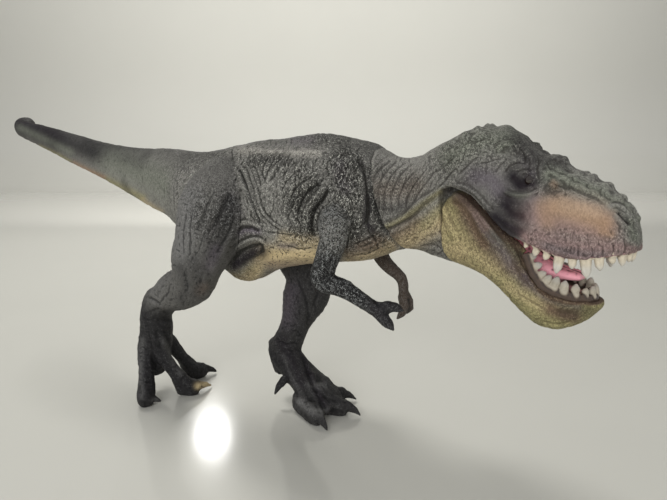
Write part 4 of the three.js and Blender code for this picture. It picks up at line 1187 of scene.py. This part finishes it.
JAW_GRIT = strokes(HEAD_VIEW, [
    (0.55, 22, 60, 900, 250, 1050, 420, 1180),
    (0.3, 10, 80, 620, 240, 740, 380, 900),
    (0.35, 16, 560, 1320, 760, 1420),
])


# Shaping and painting the body


def limb_shares(clay):
    """How far each place belongs to each leg and arm, from 0 to 1."""
    trees = {node: surface(nodes[node].data) for node in ("torso", "tail", *LIMBS)}
    shares = {}
    for limb in LIMBS:
        share = np.zeros(clay.size)
        for at in close_to(clay, limb, LIMB_REACH):
            own, trunk, tail = (
                trees[node].find_nearest(Vector(clay.co[at] * MM))[3] for node in (limb, "torso", "tail")
            )
            share[at] = 0.5 + max(-0.5, min(0.5, (min(trunk, tail) - own) / (LIMB_STEP * MM)))
        shares[limb] = clay.averaged(share, 8)
    return shares


def body_clay(scene):
    """The castings of trunk, tail and limbs as one skin, with folds and paint."""
    clay = Clay(scene, ("torso", "tail", *LIMBS), BODY_GROWTH, scene.toy_sculpt.body_grain, "back")
    clay.limbs = limb_shares(clay)
    right_leg, left_leg, right_arm, left_arm = (clay.limbs[limb] for limb in LIMBS)
    leg = np.clip(right_leg + left_leg, 0, 1)
    arm = np.clip(right_arm + left_arm, 0, 1)
    limb = np.clip(leg + arm, 0, 1)
    slim = smooth(40, 20, clay.co[:, 2]) * leg + smooth(100, 88, clay.co[:, 2]) * arm
    clay.rounded(passes(46) // 4)
    clay.rounded(passes(46), (1 - 0.85 * slim)[:, None])

    ahead, _, tall = clay.co.T.copy()
    normal = clay.normals()
    near, seen, straight = mirrored(clay.co, normal, TRUNK_MIDDLE, TRUNK_LEFT)
    view = in_view(straight)
    direct = sight(clay.co)
    direct_view = in_view(facing(clay.co, normal))
    on_tail = smooth(4, -6, ahead) * (1 - leg)
    height = drawn(seen, TRUNK_MARKS) * view * (1 - limb) * (1 - on_tail)
    height += knobs(near, seen, straight, BELLY_BULGE) * (1 - limb)
    height += drawn(direct, TAIL_MARKS) * on_tail
    for share, marks in ((right_leg, RIGHT_LEG_MARKS), (left_leg, LEFT_LEG_MARKS), (right_arm, ARM_MARKS)):
        height += drawn(direct, marks) * direct_view * share
    hidden = 1 - 0.75 * (view * (1 - limb) + direct_view * limb)
    height += 0.3 * creased(clay.co * np.array([1.6, 1, 0.7]), 5, 41) * hidden
    height += 0.12 * creased(clay.co * np.array([1.3, 1.3, 0.8]), 2.2, 43) * (1 - 0.6 * leg - 0.5 * on_tail)
    height += 0.2 * lumps(clay.co, 5, 45) + 0.07 * lumps(clay.co, 1.4, 47)
    height += 0.3 * lumps(clay.co, 2.8, 48) * leg * smooth(44, 30, tall)
    height += 0.1 * lumps(clay.co, 1.1, 46) * leg * smooth(80, 60, tall)
    clay.raised(height * clay.depth * (1 - 0.35 * slim) * smooth(0.2, 2.5, tall))
    tip = smooth(-177, -184, clay.co[:, 0])
    clay.co[:, 2] = np.maximum(clay.co[:, 2] - TAIL_TIP_DROP * tip, 0)

    painted_body(clay, seen, direct, leg, on_tail, normal[:, 2])
    clay.find_folds(0.5)
    clay.even_seam("head", 2.0)
    return clay


def painted_body(clay, seen, direct, leg, on_tail, upward):
    """Airbrushes the casting: grey over sand, dark limbs, and scales that show most at the shoulder."""
    right_leg, left_leg, right_arm, left_arm = (clay.limbs[limb] for limb in LIMBS)
    ahead, _, tall = clay.co.T
    clay.brush("shade", 0.3 * smooth(0.0, 0.6, lumps(clay.co, 14, 49)))
    clay.brush("charcoal", 0.55 * smooth(0.2, 0.95, upward))
    clay.spray(seen, TRUNK_SPRAY, (1 - on_tail) * (1 - right_arm))
    clay.spray(direct, TAIL_SPRAY, on_tail)
    clay.brush("charcoal", 0.4 * on_tail * smooth(0.1, 0.9, lumps(clay.co, 8, 51)))
    clay.brush("shade", 0.75 * leg * smooth(128, 104, tall))
    clay.brush("charcoal", 0.9 * left_leg * smooth(112, 88, tall))
    clay.brush("charcoal", 0.3 * right_leg * smooth(104, 84, tall))
    clay.spray(direct, THIGH_SPRAY, right_leg)
    clay.brush("charcoal", 0.98 * right_leg * smooth(56, 44, tall))
    clay.spray(direct, SHANK_SPRAY, right_leg)
    clay.spray(direct, LEFT_LEG_SPRAY, left_leg)
    clay.brush("charcoal", 0.9 * right_arm * smooth(244, 262, direct[:, 1]))
    clay.brush("charcoal", 0.9 * left_arm * smooth(100, 92, tall))
    clay.brush("earth", 0.3 * left_arm)
    clay.brush("night", 0.5 * right_arm * smooth(362, 376, direct[:, 0]))

    clay.scales(seen, 0.42, TRUNK_GRIT)
    thigh = smooth(180, 200, direct[:, 0]) * smooth(80, 96, tall) * smooth(180, 205, direct[:, 1])
    for grit, weight in (
        (0.16, on_tail * smooth(8, -30, ahead)),
        (0.16 + 0.26 * smooth(90, 108, tall), leg),
        (0.2, leg * smooth(60, 40, tall)),
        (0.85, right_leg * thigh),
        (1.0, right_arm),
    ):
        ease(clay.grit, grit, weight)
    clay.grit -= 0.8 * right_arm * smooth(360, 372, direct[:, 0])
    ease(clay.grit, 0.25, left_arm)


def split_body(clay):
    """Cuts the painted body into its cast pieces along hairline seams."""
    paints = {
        "body_skin": skin_paint("body_paint", 0.85, 1.0, "1d1c19", "c6c5ba"),
        "tail_skin": skin_paint("tail_paint", 0.5, 0.5, "2a2924", "a09f94"),
        "leg_skin": skin_paint("leg_paint", 0.65, 0.8, "111112", "939492", rough=0.62),
        "arm_skin": skin_paint("arm_paint", 0.75, 1.0, "141415", "a2a4a2", scales=2500.0, sparse=0.12),
    }
    slots = ("body_skin", "leg_skin", "leg_skin", "arm_skin", "arm_skin", "tail_skin")
    castings = ("torso", *LIMBS, "tail")
    kind = np.zeros(clay.size, np.int32)
    for limb in LIMBS:
        kind[clay.limbs[limb] > 0.5] = castings.index(limb)
    kind[(kind == 0) & (clay.co[:, 0] < TAIL_SEAM)] = castings.index("tail")
    mesh = clay.kept()
    mesh.attributes.new("kind", "INT", "POINT").data.foreach_set("value", kind)
    outward = column(mesh.vertex_normals, "vector", 3).astype(np.float32)
    mesh.attributes.new("outward", "FLOAT_VECTOR", "POINT").data.foreach_set("vector", outward.ravel())
    for number, (casting, slot) in enumerate(zip(castings, slots)):
        shape = bmesh.new()
        shape.from_mesh(mesh)
        layer = shape.verts.layers.int["kind"]
        others = [f for f in shape.faces if sum(v[layer] == number for v in f.verts) < len(f.verts) / 2]
        bmesh.ops.delete(shape, geom=others, context="FACES")
        close_rims(shape)
        piece = meshed(shape, casting)
        shown(piece, f"{casting}_skin", paints[slot], "figure", casting)
        outward = piece.attributes["outward"]
        piece.normals_split_custom_set_from_vertices(column(outward.data, "vector", 3).tolist())
        piece.attributes.remove(piece.attributes["outward"])


def close_rims(shape):
    """Keeps the largest shell and closes its open rims with a cap."""
    for shell in shells(shape)[1:]:
        bmesh.ops.delete(shape, geom=shell, context="VERTS")
    rims = [e for e in shape.edges if e.is_boundary]
    for edge in rims:
        edge.smooth = False
    if rims:
        filled = bmesh.ops.holes_fill(shape, edges=rims, sides=0)["faces"]
        bmesh.ops.triangulate(shape, faces=filled)
    bmesh.ops.recalc_face_normals(shape, faces=shape.faces)
    if shape.calc_volume(signed=True) < 0:
        bmesh.ops.reverse_faces(shape, faces=shape.faces)


def shells(shape):
    """Connected groups of vertices, largest first."""
    seen = set()
    groups = []
    for vertex in shape.verts:
        if vertex in seen:
            continue
        seen.add(vertex)
        stack = [vertex]
        found = []
        while stack:
            here = stack.pop()
            found.append(here)
            for edge in here.link_edges:
                other = edge.other_vert(here)
                if other not in seen:
                    seen.add(other)
                    stack.append(other)
        groups.append(found)
    return sorted(groups, key=len, reverse=True)


# Shaping and painting the head and the jaw


def in_head(vectors, place=HEAD_PLACE):
    """Ahead, left and up in the head's own frame."""
    away = vectors - place
    return np.stack([away @ HEAD_AHEAD, away @ HEAD_LEFT, away[:, 2]], 1)


def mouth_lining(clay, normal):
    """How far a surface lines the mouth, from 0 to 1."""
    own = in_head(clay.co)
    ahead = own[:, 0]
    floor = np.interp(ahead, [0, 30, 58], [-6, -15, -20])
    toward = np.stack([np.clip(ahead, 20, 46), own[:, 1] * 0.15, floor], 1) - own
    toward /= np.maximum(np.linalg.norm(toward, axis=1), 1e-6)[:, None]
    inward = (toward * in_head(normal, 0)).sum(1)
    return clay.averaged(smooth(0.42, 0.72, inward) * smooth(6, 14, ahead), 4)


def chance_skin(clay, view, seed, crease, fine, lump):
    """Height of random creases, which are deepest where no mark is drawn, and of lumps."""
    height = 0.3 * creased(clay.co, crease, seed) * (1 - 0.75 * view)
    height += fine * creased(clay.co, 1.8, seed + 2)
    return height + 0.12 * lumps(clay.co, lump, seed + 4) + 0.06 * lumps(clay.co, 1.2, seed + 6)


def paint_lining(clay, lining, lump, seed):
    clay.brush("flesh", lining * 0.9)
    clay.brush("wine", lining * 0.5 * smooth(-0.2, 0.8, lumps(clay.co, lump, seed)))


def head_clay(scene):
    """The head with its neck, crest and nose."""
    castings = ("head", "right_eye", "left_eye")
    clay = Clay(scene, castings, HEAD_GROWTH, scene.toy_sculpt.head_grain, "back")
    clay.rounded(passes(34))
    normal = clay.normals()
    lining = mouth_lining(clay, normal)
    near, seen, straight = mirrored(clay.co, normal, HEAD_PLACE, HEAD_LEFT)
    view = in_view(straight)
    height = drawn(seen, HEAD_MARKS) * view + knobs(near, seen, straight, HEAD_KNOBS)
    height += chance_skin(clay, view, 85, 3.6, 0.08, 3.0)
    height = height * (1 - lining) + 0.12 * lumps(clay.co, 2.4, 93) * lining
    clay.raised(height * clay.depth)

    clay.spray(seen, HEAD_SPRAY)
    paint_lining(clay, lining, 6, 95)
    clay.scales(seen, 0.45, HEAD_GRIT)
    clay.grit *= 1 - 0.9 * lining
    clay.find_folds(0.4)
    clay.even_seam("torso", 2.0)
    clay.even_seam("lower_jaw", 3.0, smooth(0, -5, in_head(clay.co)[:, 0]))
    ease(clay.fold, 0.5, 0.65 * smooth(0.3, 0.12, clay.grit) * (1 - lining))
    return clay


def jaw_clay(scene):
    """The lower jaw with its lip."""
    clay = Clay(scene, ("lower_jaw",), HEAD_GROWTH, scene.toy_sculpt.head_grain, "olive")
    clay.rounded(passes(28))
    normal = clay.normals()
    lining = mouth_lining(clay, normal)
    _, seen, straight = mirrored(clay.co, normal, HEAD_PLACE, HEAD_LEFT)
    view = in_view(straight)
    height = drawn(seen, JAW_MARKS) * view + chance_skin(clay, view, 97, 3.4, 0.1, 2.8)
    clay.raised(height * (1 - lining) * clay.depth)

    clay.spray(seen, JAW_SPRAY)
    ahead = in_head(clay.co)[:, 0]
    # the upward-facing rim of the jaw is painted brown, and black violet over it, strongest toward the back
    # where the rim runs under the cheek, is painted shade
    rim = smooth(0.2, 0.6, normal[:, 2])
    lip = rim * smooth(6, 14, ahead)
    clay.brush("earth", lip)
    clay.brush("night", lip * (0.35 + 0.5 * smooth(32, 20, ahead)))
    paint_lining(clay, lining * (1 - rim), 5, 105)
    clay.scales(seen, 0.5, JAW_GRIT)
    clay.grit *= 1 - 0.9 * lining
    clay.find_folds(0.4)
    clay.even_seam("head", 3.0, smooth(0, -5, ahead))
    return clay


# Shaping and painting teeth, tongue and eyes


def row_outline(own, tipward):
    """Height of the gum's edge and of the row's outline at each place along a curved tooth row."""
    ahead, left, _ = own.T
    bend = ahead.max() - ROW_FRONT
    round_front = bend + ROW_FRONT * np.arctan2(ahead - bend, np.abs(left))
    along = np.where(ahead < bend, ahead, round_front)
    cell = np.floor((along - along.min()) / ROW_STEP).astype(int)
    side = (left > 0).astype(int)
    lowest = np.full((2, cell.max() + 1), np.inf)
    highest = -lowest
    np.minimum.at(lowest, (side, cell), tipward)
    np.maximum.at(highest, (side, cell), tipward)
    lowest[np.isinf(lowest)] = tipward.max()
    highest[np.isinf(highest)] = tipward.min()
    wide = np.pad(lowest, ((0, 0), (4, 4)), mode="edge")
    foot = np.mean([wide[:, at:at + lowest.shape[1]] for at in range(9)], 0)
    edge = foot + GUM_HEIGHT * np.sqrt(1 + np.gradient(foot, ROW_STEP, axis=1) ** 2)
    return edge[side, cell], highest[side, cell]


def tooth_clay(scene, name):
    """Ivory teeth that stand in a bar of dark gum."""
    upper = name == "upper_teeth"
    clay = Clay(scene, (name,), TOOTH_GROWTH, scene.toy_sculpt.tooth_grain, "ivory")
    clay.rounded(passes(8))
    clay.raised(0.1 * lumps(clay.co, 1.3, 111))
    own = in_head(clay.co)
    ahead = own[:, 0]
    tipward = own[:, 2] * (-1 if upper else 1)
    edge, outline = row_outline(own, tipward)
    level = clay.averaged(edge, 12)
    under = clay.averaged(smooth(0.3, 1.5, outline - level - (0.0 if upper else 0.6)), 6)
    drawn_back = under * (2.0 if upper else 1.6 * smooth(31, 44, ahead))
    gum = clay.averaged(smooth(0.3, -0.3, tipward - level - 0.4 + drawn_back), 3)
    clay.brush("belly", 0.35 * smooth(3.0, 0.8, tipward - level))
    if upper:
        # the teeth beside the closing jaw stay slim
        stout = 0.24 * (1 - np.exp(-(((ahead - JAW_PASSES) / 3) ** 2)))
    else:
        stout = 0.4
        # painted shade: the lower row is painted darker grey than the upper row, which has the same paint
        clay.brush("shade", np.full(clay.size, 0.42))
    clay.raised(stout * (1 - gum))
    clay.brush("earth", gum)
    clay.brush("wine" if upper else "night", gum * 0.6)
    clay.find_folds(0.22)
    clay.fold = np.maximum(clay.fold, 0.42 * (1 - gum))
    return clay


def tongue_clay(scene):
    """The tongue with its middle groove."""
    clay = Clay(scene, ("tongue",), HEAD_GROWTH, scene.toy_sculpt.tooth_grain * 1.3, "flesh")
    clay.rounded(passes(18))
    ahead, left, _ = in_head(clay.co).T
    groove = -0.5 * np.exp(-((left / 0.8) ** 2)) * smooth(0.0, 0.6, clay.normals()[:, 2])
    clay.raised(groove + 0.12 * lumps(clay.co, 1.1, 115))
    clay.brush("wine", smooth(14, 6, ahead) * 0.6)
    clay.find_folds(0.3)
    return clay


def eye_bead(name, material, skin):
    """A small bead that looks out between the lids of the finished head."""
    low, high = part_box(name)
    outward = Vector(HEAD_LEFT * (1 if name == "left_eye" else -1))
    outside = (low + high) / 2 + outward * 10 * MM
    hit = surface(skin).ray_cast(outside, -outward)[0]
    shape = bmesh.new()
    bmesh.ops.create_uvsphere(shape, u_segments=48, v_segments=32, radius=BEAD_RADIUS * MM)
    turn = outward.to_track_quat("Z", "Y").to_matrix()
    bmesh.ops.rotate(shape, verts=shape.verts, cent=(0, 0, 0), matrix=turn)
    bmesh.ops.translate(shape, verts=shape.verts, vec=hit - outward * BEAD_SUNK * MM)
    shown(meshed(shape, name), f"{name}_bead", material, "figure", name)


# Stage


def pale_floor():
    """A table top that bends up into a wall, square to the camera."""
    shape = bmesh.new()
    bmesh.ops.create_grid(shape, x_segments=40, y_segments=80, size=1.0)
    for vertex in shape.verts:
        away = vertex.co.y * FLOOR_HALF + WALL_AWAY
        bend = max(0.0, away - WALL_AWAY)
        turn = min(bend / WALL_BEND, math.pi / 2)
        vertex.co.x *= FLOOR_HALF
        vertex.co.y = min(away, WALL_AWAY) + WALL_BEND * math.sin(turn)
        vertex.co.z = WALL_BEND * (1 - math.cos(turn)) + max(0, bend - WALL_BEND_ARC)
    bmesh.ops.rotate(shape, verts=shape.verts, cent=(0, 0, 0), matrix=Matrix.Rotation(CAMERA_HEADING, 3, "Z"))
    mesh = meshed(shape, "floor")
    mesh.shade_smooth()
    floor = linked(mesh, "floor")
    material, wires, shader, place = fresh_material("table_top")
    clouds = wires.group(mottling(), {"Place": place, "Size": 3.0, "Strength": 0.03})
    wires.feed(shader, {"Base Color": wires.multiplied(srgb("c0bfb7"), clouds["Tone"]), "Roughness": 0.14})
    mesh.materials.append(material)


def soft_lights(scene):
    """Soft round lamps, of which only the small one behind shows in the gloss of the table."""
    for name, place, aim, width, power, tint in (
        ("key_light", (-0.6, 0.2, 0.95), (0.0, 0, 0.05), 0.3, 6.5, (1.0, 0.99, 0.97)),
        ("fill_light", (0.35, -1.1, 0.35), (0.05, 0, 0.05), 1.0, 12.0, (0.98, 0.99, 1.0)),
        ("back_light", (-0.55, 0.57, 0.46), (0.0, 0, 0.05), 0.07, 0.4, (1.0, 0.99, 0.97)),
        ("wall_light", (-0.6, 1.04, 1.15), (-1.3, 2.25, 0.45), 2.4, 22.0, (1.0, 0.99, 0.98)),
    ):
        lamp = bpy.data.lights.new(name, "AREA")
        lamp.shape = "DISK"
        lamp.size = width
        lamp.energy = power
        lamp.color = tint
        holder = linked(lamp, name)
        holder.location = place
        holder.rotation_euler = (Vector(aim) - Vector(place)).to_track_quat("-Z", "Y").to_euler()
        holder.visible_glossy = name == "back_light"
    world = bpy.data.worlds.new("room")
    world.use_nodes = True
    background = world.node_tree.nodes["Background"]
    background.inputs["Color"].default_value = (0.98, 0.98, 0.98, 1)
    background.inputs["Strength"].default_value = 0.5
    scene.world = world
    scene.view_settings.view_transform = "Standard"


def picture_camera(scene):
    lens = bpy.data.cameras.new("camera")
    lens.sensor_width = SENSOR_WIDTH
    lens.lens = CAMERA_FOCAL / FRAME_WIDTH * SENSOR_WIDTH
    lens.clip_start = 0.01
    camera = linked(lens, "camera")
    turn = Matrix((SIGHT_RIGHT, -SIGHT_DOWN, -SIGHT_AHEAD)).transposed().to_4x4()
    camera.matrix_world = Matrix.Translation(CAMERA_PLACE * MM) @ turn
    scene.camera = camera


# Operators


class ToyTheropodBody(bpy.types.Operator):
    """Sculpt and paint the trunk, tail, legs and arms."""

    bl_idname = "toy_theropod.body"
    bl_label = "Body, tail and limbs"

    def execute(self, context):
        split_body(body_clay(context.scene))
        return {"FINISHED"}


class ToyTheropodHead(bpy.types.Operator):
    """Sculpt and paint the neck and head."""

    bl_idname = "toy_theropod.head"
    bl_label = "Head"

    def execute(self, context):
        material = skin_paint("head_paint", 0.6, 0.6, "221d1b", "a9a89b", scales=2400.0)
        shown(head_clay(context.scene).kept(), "head_skin", material, "figure", "head")
        return {"FINISHED"}


class ToyTheropodJaw(bpy.types.Operator):
    """Sculpt and paint the lower jaw."""

    bl_idname = "toy_theropod.jaw"
    bl_label = "Lower jaw"

    def execute(self, context):
        material = skin_paint("jaw_paint", 0.5, 0.5, "43382b", "b3ac88", scales=2600.0)
        shown(jaw_clay(context.scene).kept(), "jaw_skin", material, "jaw", "lower_jaw")
        return {"FINISHED"}


class ToyTheropodMouth(bpy.types.Operator):
    """Shape and paint the tooth rows and the tongue."""

    bl_idname = "toy_theropod.mouth"
    bl_label = "Teeth and tongue"

    def execute(self, context):
        material = enamel()
        for name, body in (("upper_teeth", "figure"), ("lower_teeth", "jaw")):
            shown(tooth_clay(context.scene, name).kept(), f"{name}_row", material, body, name)
        shown(tongue_clay(context.scene).kept(), "tongue_flesh", wet_flesh(), "jaw", "tongue")
        return {"FINISHED"}


class ToyTheropodEyes(bpy.types.Operator):
    """Make the eye beads and the steel of the jaw pin."""

    bl_idname = "toy_theropod.eyes"
    bl_label = "Eyes and jaw pin"

    def execute(self, context):
        material = bead_paint()
        for name in ("right_eye", "left_eye"):
            eye_bead(name, material, bpy.data.objects["head_skin"].data)
        pin = nodes["jaw_pin"].data
        pin.materials.clear()
        pin.materials.append(wire_steel())
        return {"FINISHED"}


class ToyTheropodStage(bpy.types.Operator):
    """Lay a pale floor, hang soft lights and set the camera."""

    bl_idname = "toy_theropod.stage"
    bl_label = "Stage"

    def execute(self, context):
        pale_floor()
        soft_lights(context.scene)
        picture_camera(context.scene)
        return {"FINISHED"}


class ToyTheropodPanel(bpy.types.Panel):
    """Lists the pieces of the toy and their settings."""

    bl_idname = "VIEW3D_PT_toy_theropod"
    bl_label = "Toy Theropod"
    bl_space_type = "VIEW_3D"
    bl_region_type = "UI"
    bl_category = "Theropod"

    def draw(self, context):
        for operator in OPERATORS:
            self.layout.operator(operator.bl_idname)
        for settings in (context.scene.toy_sculpt, context.scene.toy_paint):
            box = self.layout.box()
            for name in type(settings).__annotations__:
                box.prop(settings, name)


OPERATORS = (
    ToyTheropodBody,
    ToyTheropodHead,
    ToyTheropodJaw,
    ToyTheropodMouth,
    ToyTheropodEyes,
    ToyTheropodStage,
)
CLASSES = (ToyTheropodSculpt, ToyTheropodPaint, *OPERATORS, ToyTheropodPanel)


def register():
    for item in CLASSES:
        bpy.utils.register_class(item)
    bpy.types.Scene.toy_sculpt = PointerProperty(type=ToyTheropodSculpt)
    bpy.types.Scene.toy_paint = PointerProperty(type=ToyTheropodPaint)


def unregister():
    del bpy.types.Scene.toy_paint
    del bpy.types.Scene.toy_sculpt
    for item in reversed(CLASSES):
        bpy.utils.unregister_class(item)


def main():
    register()
    bpy.ops.toy_theropod.body()
    bpy.ops.toy_theropod.head()
    bpy.ops.toy_theropod.jaw()
    bpy.ops.toy_theropod.mouth()
    bpy.ops.toy_theropod.eyes()
    bpy.ops.toy_theropod.stage()


if __name__ == "__main__":
    main()
